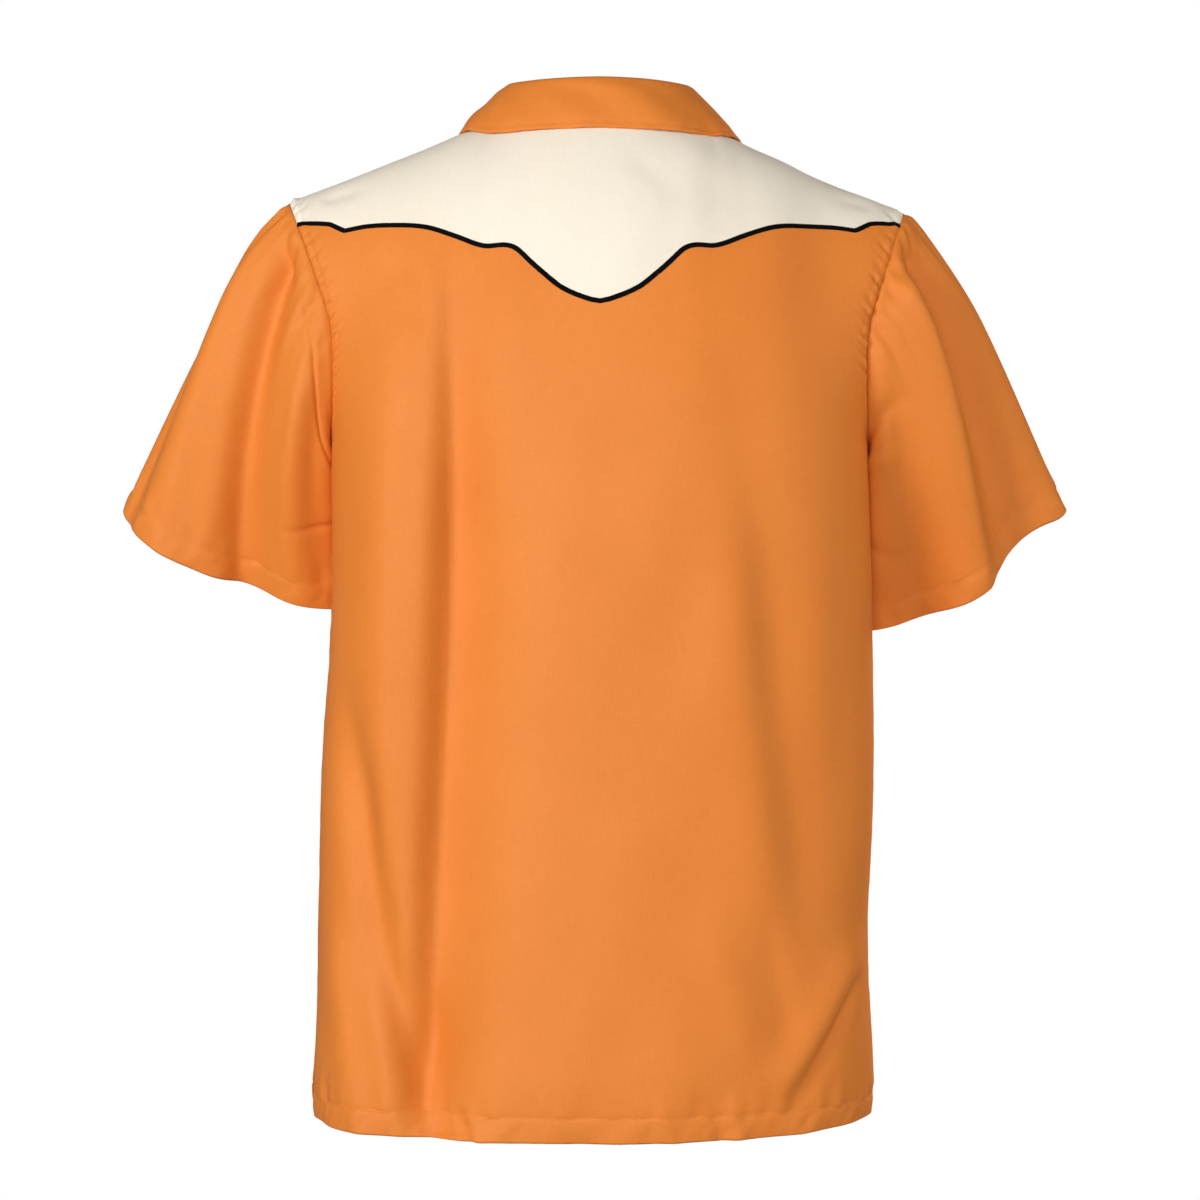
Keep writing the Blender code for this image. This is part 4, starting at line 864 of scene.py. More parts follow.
def thick_cloth(name, grids, finish, thickness=CLOTH):
    """One piece of cloth: grids of points, joined where they touch, moved out by their depth,
    mapped in metres for the weave, and thickened both ways."""
    corners = np.concatenate([grid.points.reshape(-1, 3) for grid in grids])
    depth = np.concatenate([np.broadcast_to(g.depth, g.points.shape[:2]).ravel() for g in grids])
    quads = []
    maps = []
    first = 0
    for grid in grids:
        rows, columns = grid.points.shape[:2]
        quads.append(grid_quads(rows, columns, first)[:, :: -1 if grid.flip else 1])
        across = lengths_along(grid.points, 1)
        across -= across[:, columns // 2 : columns // 2 + 1]
        maps.append(np.stack([across, lengths_along(grid.points, 0)], -1).reshape(-1, 2))
        first += rows * columns
    maps = np.concatenate(maps)
    keep, faces, quads = weld(corners, np.concatenate(quads))
    places = corners[keep]
    diagonals = places[faces[:, 2]] - places[faces[:, 0]], places[faces[:, 3]] - places[faces[:, 1]]
    face_normals = np.cross(*diagonals)
    normals = np.zeros_like(places)
    for corner in range(4):
        np.add.at(normals, faces[:, corner], face_normals)
    places = places + unit(normals) * depth[keep][:, None]

    loops = [list(dict.fromkeys(face)) for face in faces.tolist()]
    mesh = bpy.data.meshes.new(name)
    mesh.from_pydata(places.tolist(), [], loops)
    layer = mesh.uv_layers.new(name="cloth")
    flat = []
    for face, quad in zip(faces.tolist(), quads.tolist()):
        seen = set()
        for vertex, corner in zip(face, quad):
            if vertex not in seen:
                seen.add(vertex)
                flat.extend(maps[corner])
    layer.data.foreach_set("uv", np.array(flat, np.float32))
    mesh.shade_smooth()
    mesh.materials.append(finish)
    piece = bpy.data.objects.new(name, mesh)
    bpy.context.scene.collection.objects.link(piece)
    wall = piece.modifiers.new("wall", "SOLIDIFY")
    wall.thickness = thickness
    wall.offset = 0.0
    select_only(piece)
    bpy.ops.object.modifier_apply(modifier=wall.name)
    settle(piece)
    return piece


def select_only(piece):
    bpy.ops.object.select_all(action="DESELECT")
    bpy.context.view_layer.objects.active = piece
    piece.select_set(True)


def settle(piece):
    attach(piece, "root")


stitch_rows = {}


def sew(row_name, path, normals, lift=CLOTH / 2):
    """Keeps a line of stitches to be made: points on the cloth and the cloth's normals there."""
    lifted = path + normals * (lift + THREAD_HALF * THREAD_SHOWN)
    stitch_rows.setdefault(row_name, []).append((lifted, normals))


def make_stitches(
    row_name, finish, slot, length=STITCH_LENGTH, pitch=STITCH_PITCH, half=THREAD_HALF
):
    """All the stitches of one row as one mesh: short rounded threads laid end to end."""
    bpy.ops.mesh.primitive_uv_sphere_add(segments=6, ring_count=4, radius=1.0)
    pattern = bpy.context.object
    shape = np.array([v.co for v in pattern.data.vertices])
    shape_faces = [list(face.vertices) for face in pattern.data.polygons]
    bpy.data.objects.remove(pattern, do_unlink=True)
    shape = shape[:, [2, 0, 1]] * np.array((length / 2, half, half))
    points = []
    faces = []
    for path, normals in stitch_rows[row_name]:
        run = lengths_along(path, 0)
        count = int(run[-1] / pitch)
        if count < 1:
            continue
        at = (np.arange(count) + 0.5) * run[-1] / count
        centre = read_along(run, path, at)
        out = unit(read_along(run, normals, at))
        forward = unit(read_along(run, path, at + 0.0005) - read_along(run, path, at - 0.0005))
        aside = unit(np.cross(out, forward))
        out = np.cross(forward, aside)
        for c, f, s, o in zip(centre, forward, aside, out):
            first = len(points) * len(shape)
            points.append(c + shape[:, :1] * f + shape[:, 1:2] * s + shape[:, 2:] * o)
            faces.extend([[first + i for i in face] for face in shape_faces])
    mesh = bpy.data.meshes.new(row_name)
    mesh.from_pydata(np.concatenate(points).tolist(), [], faces)
    mesh.shade_smooth()
    mesh.materials.append(finish)
    piece = bpy.data.objects.new(row_name, mesh)
    bpy.context.scene.collection.objects.link(piece)
    settle(piece)
    return piece


# ------------------------------------------------------------ panels of the trunk


def vent_gap(height):
    """Half of the gap between back and front at a side: closed above, and open at the vent."""
    return VENT_SPREAD * np.clip(1 - (height - HEM_HEIGHT) / VENT_HEIGHT, 0, 1)


def rises_below(step):
    """The rises of the rows from the hem to the armpits: close together in the hem."""
    total = ARMPIT_HEIGHT - HEM_HEIGHT
    count = int((total - HEM_STEPS[-1]) / step)
    heights = np.concatenate([HEM_STEPS, np.linspace(HEM_STEPS[-1], total, count + 1)[1:]])
    return heights / total - 1


def hem_depth(from_hem, along_hem, seed):
    """The relief of a turned hem: a rounded band, a groove where it is sewn, and puckers."""
    rounded = np.sin(np.pi * np.clip(from_hem / HEM_DEPTH, 0, 1))
    band = HEM_BAND * rounded**0.7
    groove = -HEM_GROOVE * bell(from_hem - HEM_DEPTH, HEM_GROOVE_WIDTH)
    roping = waves(along_hem + HEM_SLANT * from_hem, HEM_ROPING, seed)
    inside = rounded * (from_hem < HEM_DEPTH)
    pulled = waves(along_hem, HEM_PULL, seed + 1)
    above = bell(from_hem - HEM_DEPTH - 0.004, 0.012) * (from_hem > HEM_DEPTH)
    edge = waves(along_hem, HEM_EDGE, seed + 2) * np.exp(-from_hem / 0.012)
    return band + groove + roping * inside + pulled * above + edge


def beyond_seam(distance):
    """0 on a seam and 1 beyond it: the cloth on each side stands a little proud of the seam."""
    return 1 - bell(distance, SEAM_HALF_WIDTH)


def side_seam_depth(distance, height, seed):
    """A side seam pulls the cloth in a little, unevenly."""
    return waves(height, SIDE_SEAM_PULL, seed) * bell(distance, 0.014)


def armhole_depth(distance, height, seed):
    """An armhole seam: its allowance lies on the body, and its sewing puckers the cloth, though
    not in the armpit nor where the yoke's seam crosses it."""
    allowance = ALLOWANCE_HEIGHT * bell(distance - ALLOWANCE_MIDDLE, ALLOWANCE_WIDTH)
    sewn = -ARMHOLE_GROOVE * bell(distance - ARMHOLE_STITCH_INSET, 0.0012)
    where = ease((height + 0.215) / 0.04) * (1 - 0.8 * bell(height + 0.077, 0.006))
    pucker = waves(height - PUCKER_SLANT * distance, ARMHOLE_PUCKER, seed)
    return allowance + sewn + pucker * bell(distance, PUCKER_WIDTH) * where


def edge_depths(points, rise, end, seed):
    """The relief near the seams at one end of a panel's rows, and how far beyond them it is."""
    run = lengths_along(points, 1)
    distance = run if end == 0 else run[:, -1:] - run
    height = points[..., 2]
    above = ease((rise + 0.02) / 0.04)
    at_side = side_seam_depth(distance, height, seed)
    at_hole = armhole_depth(distance, height, seed + 5)
    above_vent = ease((height - HEM_HEIGHT - VENT_HEIGHT) / 0.006)
    beyond = 1 - above_vent * (1 - beyond_seam(distance))
    turned = VENT_EDGE * bell(distance - VENT_STITCH_INSET / 2, 0.0030)
    turned -= VENT_GROOVE * bell(distance - VENT_STITCH_INSET, 0.0011)
    relief = at_hole * above + at_side * above_vent * (1 - above) + turned * (1 - above_vent)
    return relief, beyond


def both_edges(points, rises):
    """The relief near both sides of the back or the yoke, and how far it is beyond the seams."""
    right, beyond_right = edge_depths(points, rises, 0, SEEDS["back_right_edge"])
    left, beyond_left = edge_depths(points, rises, -1, SEEDS["back_left_edge"])
    return right + left, beyond_right * beyond_left


def turned_hem(points, normals):
    """A panel's rows with its hem's turned-in layer added below them."""
    inner = [points[row] - normals[row] * HEM_LAYER for row in HEM_TURNED_ROWS]
    folded = points.copy()
    folded[0] = folded[0] - normals[1] * HEM_LAYER / 2
    return np.concatenate([np.array(inner[::-1]), folded])


def back_columns():
    """The across of each column of back and yoke: closer at the sides, and at each line point."""
    t = np.linspace(-1, 1, 165)
    even = t * 0.55 + 0.45 * np.sin(QUARTER * t)
    inner = np.array([(p.across, p.height) for p in YOKE_LINE if p.across < 0.2])
    marks, _ = place_on(inner[:, 0], inner[:, 1], BACK)
    neck_points = [-NECK_ANGLE / QUARTER, NECK_ANGLE / QUARTER]
    marks = np.sort(np.concatenate([-marks[::-1], marks[1:], neck_points]))
    far = np.array([np.min(np.abs(marks - a)) > 0.0035 for a in even])
    return np.sort(np.concatenate([even[far], marks]))


def yoke_line_height(x):
    keys = np.array([p.across for p in YOKE_LINE])
    values = np.array([p.height for p in YOKE_LINE])
    chords = np.diff(values) / np.diff(keys)
    before = np.concatenate([chords[:1], chords])
    after = np.concatenate([chords, chords[-1:]])
    sharp = np.array([p.sharp for p in YOKE_LINE])
    smooth = (before + after) / 2
    smooth[0] = 0.0
    leaving = np.where(sharp, after, smooth)
    arriving = np.where(sharp, before, smooth)
    return hermite(keys, values, leaving, arriving, np.abs(x))


def yoke_line_rise(across):
    def above(rise):
        points = smooth_trunk(across, rise, BACK)
        return points[..., 2] - yoke_line_height(points[..., 0])

    return solve(above, 0, 1, np.shape(across))


def hem_corner(corner, inward, from_hem):
    """How much a hem's corner is cut round, and how that fades above the hem."""
    from_corner = (1 - inward) * HALF_BACK / corner.width
    cut_round = corner.rise * np.maximum(0.0, 1 - from_corner) ** 2
    return cut_round, np.clip(1 - from_hem / corner.fade, 0, 1)


def back_hem_lift(across, from_hem):
    """The back's hem rises a little to the sides, and its corners are cut round at the vents."""
    cut_round, fade = hem_corner(BACK_CORNER, np.abs(across), from_hem)
    side_rise = np.where(across >= 0, HEM_RISE[LEFT], HEM_RISE[RIGHT])
    return (cut_round + side_rise * np.abs(across) ** HEM_RISE_CURVE) * fade


def even_bend(points, across, rise):
    """Evens out the bend below each neck point, where the neckline's dome meets the shoulder's."""
    near = bell(np.abs(across) - NECK_ANGLE / QUARTER, 0.11)
    near = (near * ease(rise / 0.2) * ease((1 - rise) / 0.10))[:, 1:-1]
    share = (columns[1:-1] - columns[:-2]) / (columns[2:] - columns[:-2])
    depth = points[..., 1]
    for _ in range(BEND_ROUNDS):
        between = depth[:, :-2] * (1 - share) + depth[:, 2:] * share
        depth[:, 1:-1] += BEND_STEP * near * (between - depth[:, 1:-1])


columns = back_columns()
line_rise = yoke_line_rise(columns)
low_rises = rises_below(0.0046)
low_count = len(low_rises)
high_shares = np.linspace(0, 1, 116)[1:]
rise_grid = np.concatenate(
    [np.repeat(low_rises[:, None], len(columns), 1), high_shares[:, None] * line_rise[None, :]]
)
from_hem_rows = (low_rises + 1) * (ARMPIT_HEIGHT - HEM_HEIGHT)
from_hem = np.concatenate([from_hem_rows, np.full(len(high_shares), 1.0)])[:, None]
height_rows = HEM_HEIGHT + from_hem
spread = 1 - vent_gap(height_rows) / HALF_BACK
across_grid = columns[None, :] * np.where(from_hem < VENT_HEIGHT, spread, 1.0)
back_points = smooth_trunk(across_grid, rise_grid, BACK)
back_points[..., 2] += back_hem_lift(across_grid, from_hem)
even_bend(back_points, across_grid, rise_grid)
back_run = lengths_along(back_points, 1)
back_relief, beyond = both_edges(back_points, rise_grid)
back_lift = (
    SEAM_DIP
    + trunk_depth(back_points, across_grid, rise_grid, BACK)
    + hem_depth(from_hem, back_run, SEEDS["back_hem"]) * (from_hem < HEM_RELIEF_ENDS)
    + back_relief
) * beyond
back_normals = grid_normals(back_points, -1)
back_folded = back_points + back_normals * back_lift[..., None]
back_normals = grid_normals(back_folded, -1)
back = thick_cloth(
    "back_panel",
    [Grid(turned_hem(back_folded, back_normals), 0.0, True)],
    orange_cotton,
)
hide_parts("back")

hem_row = int(np.argmin(np.abs(HEM_STEPS - HEM_DEPTH)))
vent_rows = int(np.searchsorted(from_hem_rows, VENT_HEIGHT))
sew("hem_stitches", back_folded[hem_row, 3:-3], back_normals[hem_row, 3:-3])


def inset_line(points, values, inset, end, rows):
    """Values of a grid's points, read in each row at a distance from one of its ends."""
    run = lengths_along(points, 1)
    line = []
    for row in rows:
        at = inset if end == 0 else run[row, -1] - inset
        line.append(read_along(run[row], values[row], at))
    return np.array(line)


def sew_down(row_name, points, normals, inset, end, rows):
    """A line of stitches down a grid, at a distance from one end of its rows."""
    path = inset_line(points, points, inset, end, rows)
    sew(row_name, path, unit(inset_line(points, normals, inset, end, rows)))


vented_rows = range(hem_row, vent_rows)
for end in (0, -1):
    sew_down("vent_stitches", back_folded, back_normals, VENT_STITCH_INSET, end, vented_rows)
    below_yoke = back_points[:, end, 2] < BACK_HOLE_ENDS
    high_rows = [r for r in range(low_count, len(rise_grid)) if below_yoke[r]]
    sew_down("armhole_stitches", back_folded, back_normals, ARMHOLE_STITCH_INSET, end, high_rows)

# the yoke: from the line up to the ridge, and on over each shoulder to the front seam
yoke_shares = np.linspace(0, 1, 54)
yoke_rises = line_rise[None, :] + (1 - line_rise[None, :]) * yoke_shares[:, None]
yoke_across = np.repeat(columns[None, :], len(yoke_shares), 0)
yoke_points = smooth_trunk(yoke_across, yoke_rises, BACK)
even_bend(yoke_points, yoke_across, yoke_rises)
yoke_relief, beyond = both_edges(yoke_points, yoke_rises)
yoke_relief = yoke_relief + trunk_depth(yoke_points, yoke_across, yoke_rises, BACK)
yoke_lift = (SEAM_DIP + yoke_relief * ease((1 - yoke_rises) / 0.1)) * beyond
yoke_grids = [Grid(yoke_points, yoke_lift, True)]
FORWARD_ROWS = np.linspace(0, 1, 12)
FORWARD_LENGTH = 0.026


def yoke_over_shoulder(side):
    """The yoke's part that runs forward over one shoulder, from the ridge to the front seam."""
    beyond = np.abs(columns) * QUARTER >= NECK_ANGLE - 1e-9
    chosen = columns[beyond & (np.sign(columns) == side)]
    share = (np.abs(chosen) * QUARTER - NECK_ANGLE) / (QUARTER - NECK_ANGLE)
    ridge = shoulder_ridge(side, share)
    seam = yoke_front_seam(side, share)
    forward = FORWARD_ROWS[:, None, None]
    points = ridge + (seam - ridge) * forward
    points[..., 2] = ridge[..., 2] + (seam - ridge)[..., 2] * forward[..., 0] ** 2
    run = lengths_along(points, 1)
    distance = run[:, -1:] - run if side == LEFT else run
    from_front = (1 - FORWARD_ROWS)[:, None] * FORWARD_LENGTH
    return Grid(points, SEAM_DIP * beyond_seam(distance) * beyond_seam(from_front), True)


yoke_grids += [yoke_over_shoulder(LEFT), yoke_over_shoulder(RIGHT)]
yoke = thick_cloth("yoke_panel", yoke_grids, cream_cotton)
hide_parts("back_yoke")


def make_line():
    """The black line: a narrow flat tape over the yoke's lower edge."""
    run = lengths_along(back_folded[-1], 0)
    at = np.linspace(run[0], run[-1], 560)
    normals = unit(read_along(run, back_normals[-1], at))
    centre = read_along(run, back_folded[-1], at) + normals * LINE_LIFT
    aside = unit(np.cross(normals, unit(np.gradient(centre, axis=0))))
    rows = [
        centre + aside * LINE_WIDTH / 2 * share - normals * LINE_EDGE_DROP * abs(share)
        for share in (-1, -0.8, 0.8, 1)
    ]
    grid = Grid(np.array(rows), 0.0, True)
    return thick_cloth("yoke_line", [grid], black_tape, LINE_CLOTH)


line = make_line()
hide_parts("yoke_piping")

# ------------------------------------------------------------ fronts and lapels


def roll_line(share):
    """The x and height where a lapel turns back, from the break up to the neckline."""
    top = crown(np.array(NECKLINE_ENDS_AT), FRONT)
    break_rise = rise_at_height(-OVERLAP_ACROSS, BREAK_HEIGHT, FRONT)
    break_x = smooth_trunk(-OVERLAP_ACROSS, break_rise, FRONT)[..., 0]
    x = break_x + (top[0] - break_x) * share
    height = BREAK_HEIGHT + (top[2] - BREAK_HEIGHT) * share
    return x, height - ROLL_BOW * np.sin(np.pi * share)


def front_tops(side, inward):
    """The rise at which each of a front's columns ends: shoulder seam, neckline or roll line."""
    low = roll_line(0.0)[0]
    high = roll_line(1.0)[0]

    def above(rise):
        points = smooth_trunk(side * inward, rise, FRONT)
        share = np.clip((side * points[..., 0] - low) / (high - low), 0, 1)
        return points[..., 2] - roll_line(share)[1]

    at_roll = solve(above, 0, 1, np.shape(inward))
    return np.where(inward * QUARTER >= NECKLINE_ENDS_AT - 1e-9, 1.0, at_roll)


def front_lift(side, x):
    """The right front runs below the left one where they lap."""
    under = ease((UNDERLAP_STARTS + x) / (UNDERLAP_STARTS - UNDERLAP_ENDS))
    return -UNDERLAP_DEPTH * under if side == RIGHT else np.zeros(np.shape(x))


def on_front(side, across, rise, lift):
    x = smooth_trunk(across, rise, FRONT)[..., 0]
    return on_trunk(across, rise, FRONT, front_lift(side, x) + SEAM_DIP + lift)


FRONT_ROWS = 72


def make_front(side, name, node):
    t = np.linspace(0, 1, 96)
    inward = -OVERLAP_ACROSS + (1 + OVERLAP_ACROSS) * (t * 0.7 + 0.3 * np.sin(QUARTER * t))
    marks = np.array([NECKLINE_ENDS_AT, NECK_ANGLE]) / QUARTER
    inward = np.array([a for a in inward if np.min(np.abs(marks - a)) > 0.003])
    inward = np.sort(np.concatenate([inward, marks]))
    high = np.linspace(0, 1, FRONT_ROWS)[1:, None] * front_tops(side, inward)
    rises = np.concatenate([np.repeat(low_rises[:, None], len(inward), 1), high])
    hem_distance = np.concatenate([from_hem_rows, np.full(len(high), 1.0)])[:, None]
    gap = vent_gap(HEM_HEIGHT + hem_distance) / HALF_BACK
    narrower = np.where(hem_distance < VENT_HEIGHT, gap, 0)
    across = side * np.where(inward > 0, inward * (1 - narrower), inward)
    points = smooth_trunk(across, rises, FRONT)
    cut_round, fade = hem_corner(FRONT_CORNER, inward[None, :], hem_distance)
    points[..., 2] += cut_round * fade
    run = lengths_along(points, 1)
    from_top = lengths_along(points[::-1], 0)[::-1]
    below_yoke = (np.abs(inward) * QUARTER >= NECK_ANGLE)[None, :]
    at_top = 1 - below_yoke * (1 - beyond_seam(from_top))
    relief, beyond = edge_depths(points, rises, -1, SEEDS["front_edge"] + side)
    hem = hem_depth(hem_distance, run, SEEDS["front_hem"] + side)
    depth = (
        SEAM_DIP
        + trunk_depth(points, across, rises, FRONT)
        + hem * (hem_distance < HEM_RELIEF_ENDS)
        + relief
    ) * beyond * at_top + front_lift(side, points[..., 0])
    at_side = bell(run[:, -1:] - run, VENT_FLARE_WIDTH)
    depth = depth + VENT_FLARE[side] * np.clip(1 - hem_distance / VENT_HEIGHT, 0, 1) * at_side
    flip = side == RIGHT
    outward = -1 if flip else 1
    folded = points + grid_normals(points, outward) * depth[..., None]
    normals = grid_normals(folded, outward)
    grid = Grid(turned_hem(folded, normals), 0.0, flip)
    piece = thick_cloth(name, [grid], orange_cotton)
    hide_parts(node)
    sew("hem_stitches", folded[hem_row, 3:-3], normals[hem_row, 3:-3])
    sew_down("vent_stitches", folded, normals, VENT_STITCH_INSET, -1, vented_rows)
    high_rows = [r for r in range(low_count, len(rises)) if points[r, -1, 2] < FRONT_HOLE_ENDS]
    sew_down("armhole_stitches", folded, normals, ARMHOLE_STITCH_INSET, -1, high_rows)
    if side == LEFT:
        below_break = [r for r in range(hem_row, len(rises)) if folded[r, 0, 2] < BREAK_HEIGHT]
        sew_down("front_edge_stitches", folded, normals, EDGE_STITCH_INSET, 0, below_break)
    return piece, folded


front_left, front_left_points = make_front(LEFT, "front_left_panel", "front_left")
front_right, front_right_points = make_front(RIGHT, "front_right_panel", "front_right")

LAPEL_LIFT = 0.0022
LAPEL_EDGE_LIFT = 0.0012
ROLL_STEPS = np.radians(np.linspace(-90, 90, 9))


def make_lapel(side, name, node):
    share = np.linspace(LAPEL_STARTS[side], LAPEL_ENDS, 54)[:, None]
    radius = LAPEL_LIFT / 2
    roll_x, roll_height = roll_line(share)
    turn_x = roll_x - radius * np.cos(ROLL_STEPS)[None, :]
    turn_height = np.broadcast_to(roll_height, turn_x.shape)
    turn_lift = np.broadcast_to(radius + radius * np.sin(ROLL_STEPS), turn_x.shape)
    outward = np.linspace(0, 1, 34)[None, 1:]
    width = curve(LAPEL, "width", share)
    past = np.maximum(0.0, outward - NOTCH_STARTS) / (1 - NOTCH_STARTS)
    flat_x = roll_x + width * outward
    drop = width * outward * curve(LAPEL, "slope", share) + curve(LAPEL, "notch", share) * past
    flat_height = roll_height - drop
    edge_lift = (LAPEL_EDGE_LIFT - LAPEL_LIFT) * ease(outward)
    flat_lift = np.broadcast_to(LAPEL_LIFT + edge_lift, flat_x.shape)
    x = np.concatenate([turn_x, flat_x], 1)
    height = np.concatenate([turn_height, flat_height], 1)
    lift = np.concatenate([turn_lift, flat_lift], 1)
    across, rise = place_on(side * x, height, FRONT)
    points, _ = on_front(side, across, rise, lift)
    flip = side == RIGHT
    piece = thick_cloth(name, [Grid(points, 0.0, flip)], orange_cotton)
    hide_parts(node)
    normals = grid_normals(points, -1 if flip else 1)
    rows = range(2, len(points) - 2)
    sew_down("lapel_stitches", points, normals, EDGE_STITCH_INSET, -1, rows)
    return piece


lapel_left = make_lapel(LEFT, "lapel_left_panel", "lapel_left")
lapel_right = make_lapel(RIGHT, "lapel_right_panel", "lapel_right")

# ------------------------------------------------------------ collar


def neckline(share):
    """The neck seam, from the centre back (0) over the neck point to the lapel (1 or -1)."""
    side = LEFT if share >= 0 else RIGHT
    along = abs(share)
    if along <= NECK_POINT_SHARE:
        return crown(np.array(side * NECK_ANGLE * along / NECK_POINT_SHARE), BACK)
    if along <= YOKE_SEAM_SHARE:
        forward = (along - NECK_POINT_SHARE) / (YOKE_SEAM_SHARE - NECK_POINT_SHARE)
        ridge = shoulder_ridge(side, 0.0)
        seam = yoke_front_seam(side, 0.0)
        place = ridge + (seam - ridge) * forward
        place[2] = ridge[2] + (seam[2] - ridge[2]) * forward**2
        return place
    down = (along - YOKE_SEAM_SHARE) / (1 - YOKE_SEAM_SHARE)
    return crown(np.array(side * (NECK_ANGLE + (NECKLINE_ENDS_AT - NECK_ANGLE) * down)), FRONT)


def clear_of(form, place, resting):
    """A point lifted clear of the shirt's body, or laid on it where it rests."""
    nearest, normal, _, _ = form.find_nearest(place)
    if normal.dot(place - BODY_MIDDLE) < 0:
        normal = -normal
    height = (place - nearest).dot(normal)
    if resting or height < COLLAR_LIFT:
        return nearest + normal * COLLAR_LIFT
    return place


def collar_section(share, form):
    step = 0.02
    tangent = Vector(neckline(min(share + step, 1)) - neckline(max(share - step, -1)))
    out = Vector((-tangent.y, tangent.x, 0)).normalized()
    up = Vector((0, 0, 1))
    along = abs(share)
    rise, lean, reach, drop, swing = [
        float(curve(COLLAR, name, along)) for name in ("rise", "lean", "reach", "drop", "swing")
    ]
    start = Vector(neckline(share))
    fold = start - out * lean + up * rise
    fall_out = (out * (1 - swing) + Vector((math.copysign(swing, share), 0, 0))).normalized()
    edge = clear_of(form, fold + fall_out * reach - up * drop, True)
    radius = min(COLLAR_FOLD_RADIUS, rise * COLLAR_FOLD_MOST)
    inner, outer = [
        fold + (out * turn.outward - up * turn.downward) * radius
        for turn in (COLLAR_TURN_INSIDE, COLLAR_TURN_OUTSIDE)
    ]
    section = [start, start.lerp(inner, 0.5), inner, fold, outer]
    for share_down in FALL_SHARES:
        place = outer.lerp(edge, share_down) + out * FALL_BOW * math.sin(math.pi * share_down)
        section.append(clear_of(form, place, False))
    return section + [edge]


def smoothed(points, count):
    """A grid's rows redrawn with more points, on a curve through the ones they have."""
    lengths = np.linalg.norm(np.diff(points, axis=0), axis=-1).mean(axis=1)
    keys = np.concatenate([[0], np.cumsum(lengths)])
    slopes = slopes_through(keys, points)
    return hermite(keys, points, slopes, slopes, np.linspace(0, keys[-1], count))


def body_form():
    """The yoke and the fronts as one form, for the collar to rest on."""
    corners = []
    faces = []
    for points in [grid.points for grid in yoke_grids] + [front_left_points, front_right_points]:
        faces += grid_quads(*points.shape[:2], len(corners)).tolist()
        corners += points.reshape(-1, 3).tolist()
    return BVHTree.FromPolygons(corners, faces)


def make_collar():
    form = body_form()
    half = np.concatenate(
        [
            np.linspace(0, NECK_POINT_SHARE, 40)[:-1],
            np.linspace(NECK_POINT_SHARE, YOKE_SEAM_SHARE, 10)[:-1],
            np.linspace(YOKE_SEAM_SHARE, 1, 26),
        ]
    )
    shares = np.concatenate([-half[:0:-1], half])
    sections = [[tuple(p) for p in collar_section(float(share), form)] for share in shares]
    points = smoothed(np.array(sections).transpose(1, 0, 2), 46)
    run = lengths_along(points, 1)
    down = lengths_along(points, 0)
    from_edge = down[-1:] - down
    fall = ease((down - 0.033) / 0.012)
    sway = waves(run + 0.6 * down, COLLAR_SWAY, SEEDS["collar_sway"])
    ruffle = waves(run - 0.8 * down, COLLAR_RUFFLE, SEEDS["collar_ruffle"])
    groove = COLLAR_GROOVE * bell(from_edge - EDGE_STITCH_INSET, 0.0012)
    depth = sway * fall + ruffle * np.exp(-from_edge / 0.009) - groove
    folded = points + grid_normals(points, 1) * depth[..., None]
    grid = Grid(folded, 0.0, False)
    piece = thick_cloth("collar_leaf", [grid], orange_cotton, COLLAR_CLOTH)
    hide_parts("collar")
    normals = grid_normals(folded, 1)
    row = int(np.argmin(np.abs(from_edge[:, folded.shape[1] // 2] - EDGE_STITCH_INSET)))
    sew("collar_stitches", folded[row, 2:-2], normals[row, 2:-2], COLLAR_CLOTH / 2)
    return piece


collar = make_collar()

# ------------------------------------------------------------ sleeves


SLEEVE_COLUMNS = 170
SLEEVE_ROWS = 82
SLEEVE_HEAD_ROWS = 12
SLEEVE_HEAD_ENDS = 0.10
HEM_STEP_SCALE = 0.20


def make_sleeve(side, name, node):
    turns = np.linspace(0, 2 * math.pi, SLEEVE_COLUMNS)
    hem_along = 1 - HEM_STEPS[::-1] / HEM_STEP_SCALE
    along = np.concatenate(
        [
            np.linspace(0, SLEEVE_HEAD_ENDS, SLEEVE_HEAD_ROWS)[:-1],
            np.linspace(SLEEVE_HEAD_ENDS, hem_along[0], SLEEVE_ROWS)[:-1],
            hem_along,
        ]
    )
    points = smooth_sleeve(side, turns[None, :], along[:, None])
    run = lengths_along(points, 1)
    down = lengths_along(points, 0)
    to_hem = down[-1:] - down
    around = 180 - np.degrees(np.where(turns <= math.pi, turns, 2 * math.pi - turns))
    around = np.where(turns <= math.pi, around, -around)[None, :]
    x = around * DEGREE_ROUND_SLEEVE
    z = along[:, None] * SLEEVE_LENGTH
    folds = fold_depth(SLEEVE_FOLDS[side], x, -z, DEGREE_ROUND_SLEEVE, -SLEEVE_LENGTH)
    slight = SLEEVE_CRUMPLE * crumple(x, z, SEEDS["sleeve_crumple"] + side)
    head = waves(x, SLEEVE_HEAD, SEEDS["sleeve_head"] + side)
    head = head * ease(down / 0.008) * bell(down, 0.045) * ease((110 - np.abs(around)) / 30)
    hem = hem_depth(to_hem, run, SEEDS["sleeve_hem"] + side) * (to_hem < HEM_RELIEF_ENDS)
    underarm = np.minimum(run, run[:, -1:] - run)
    fade = ease(along / 0.14)[:, None]
    depth = SEAM_DIP + (folds + slight) * fade + head + hem
    depth = depth * beyond_seam(down) * beyond_seam(underarm)
    from_middle = points - points.mean(axis=1, keepdims=True)
    outward = 1 if np.sum(grid_normals(points, 1) * from_middle) > 0 else -1
    folded = points + grid_normals(points, outward) * depth[..., None]
    normals = grid_normals(folded, outward)
    grid = Grid(turned_hem(folded[::-1], normals[::-1]), 0.0, outward == 1)
    piece = thick_cloth(name, [grid], orange_cotton)
    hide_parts(node)
    row = len(along) - 1 - hem_row
    sew("sleeve_stitches", folded[row], normals[row])
    return piece


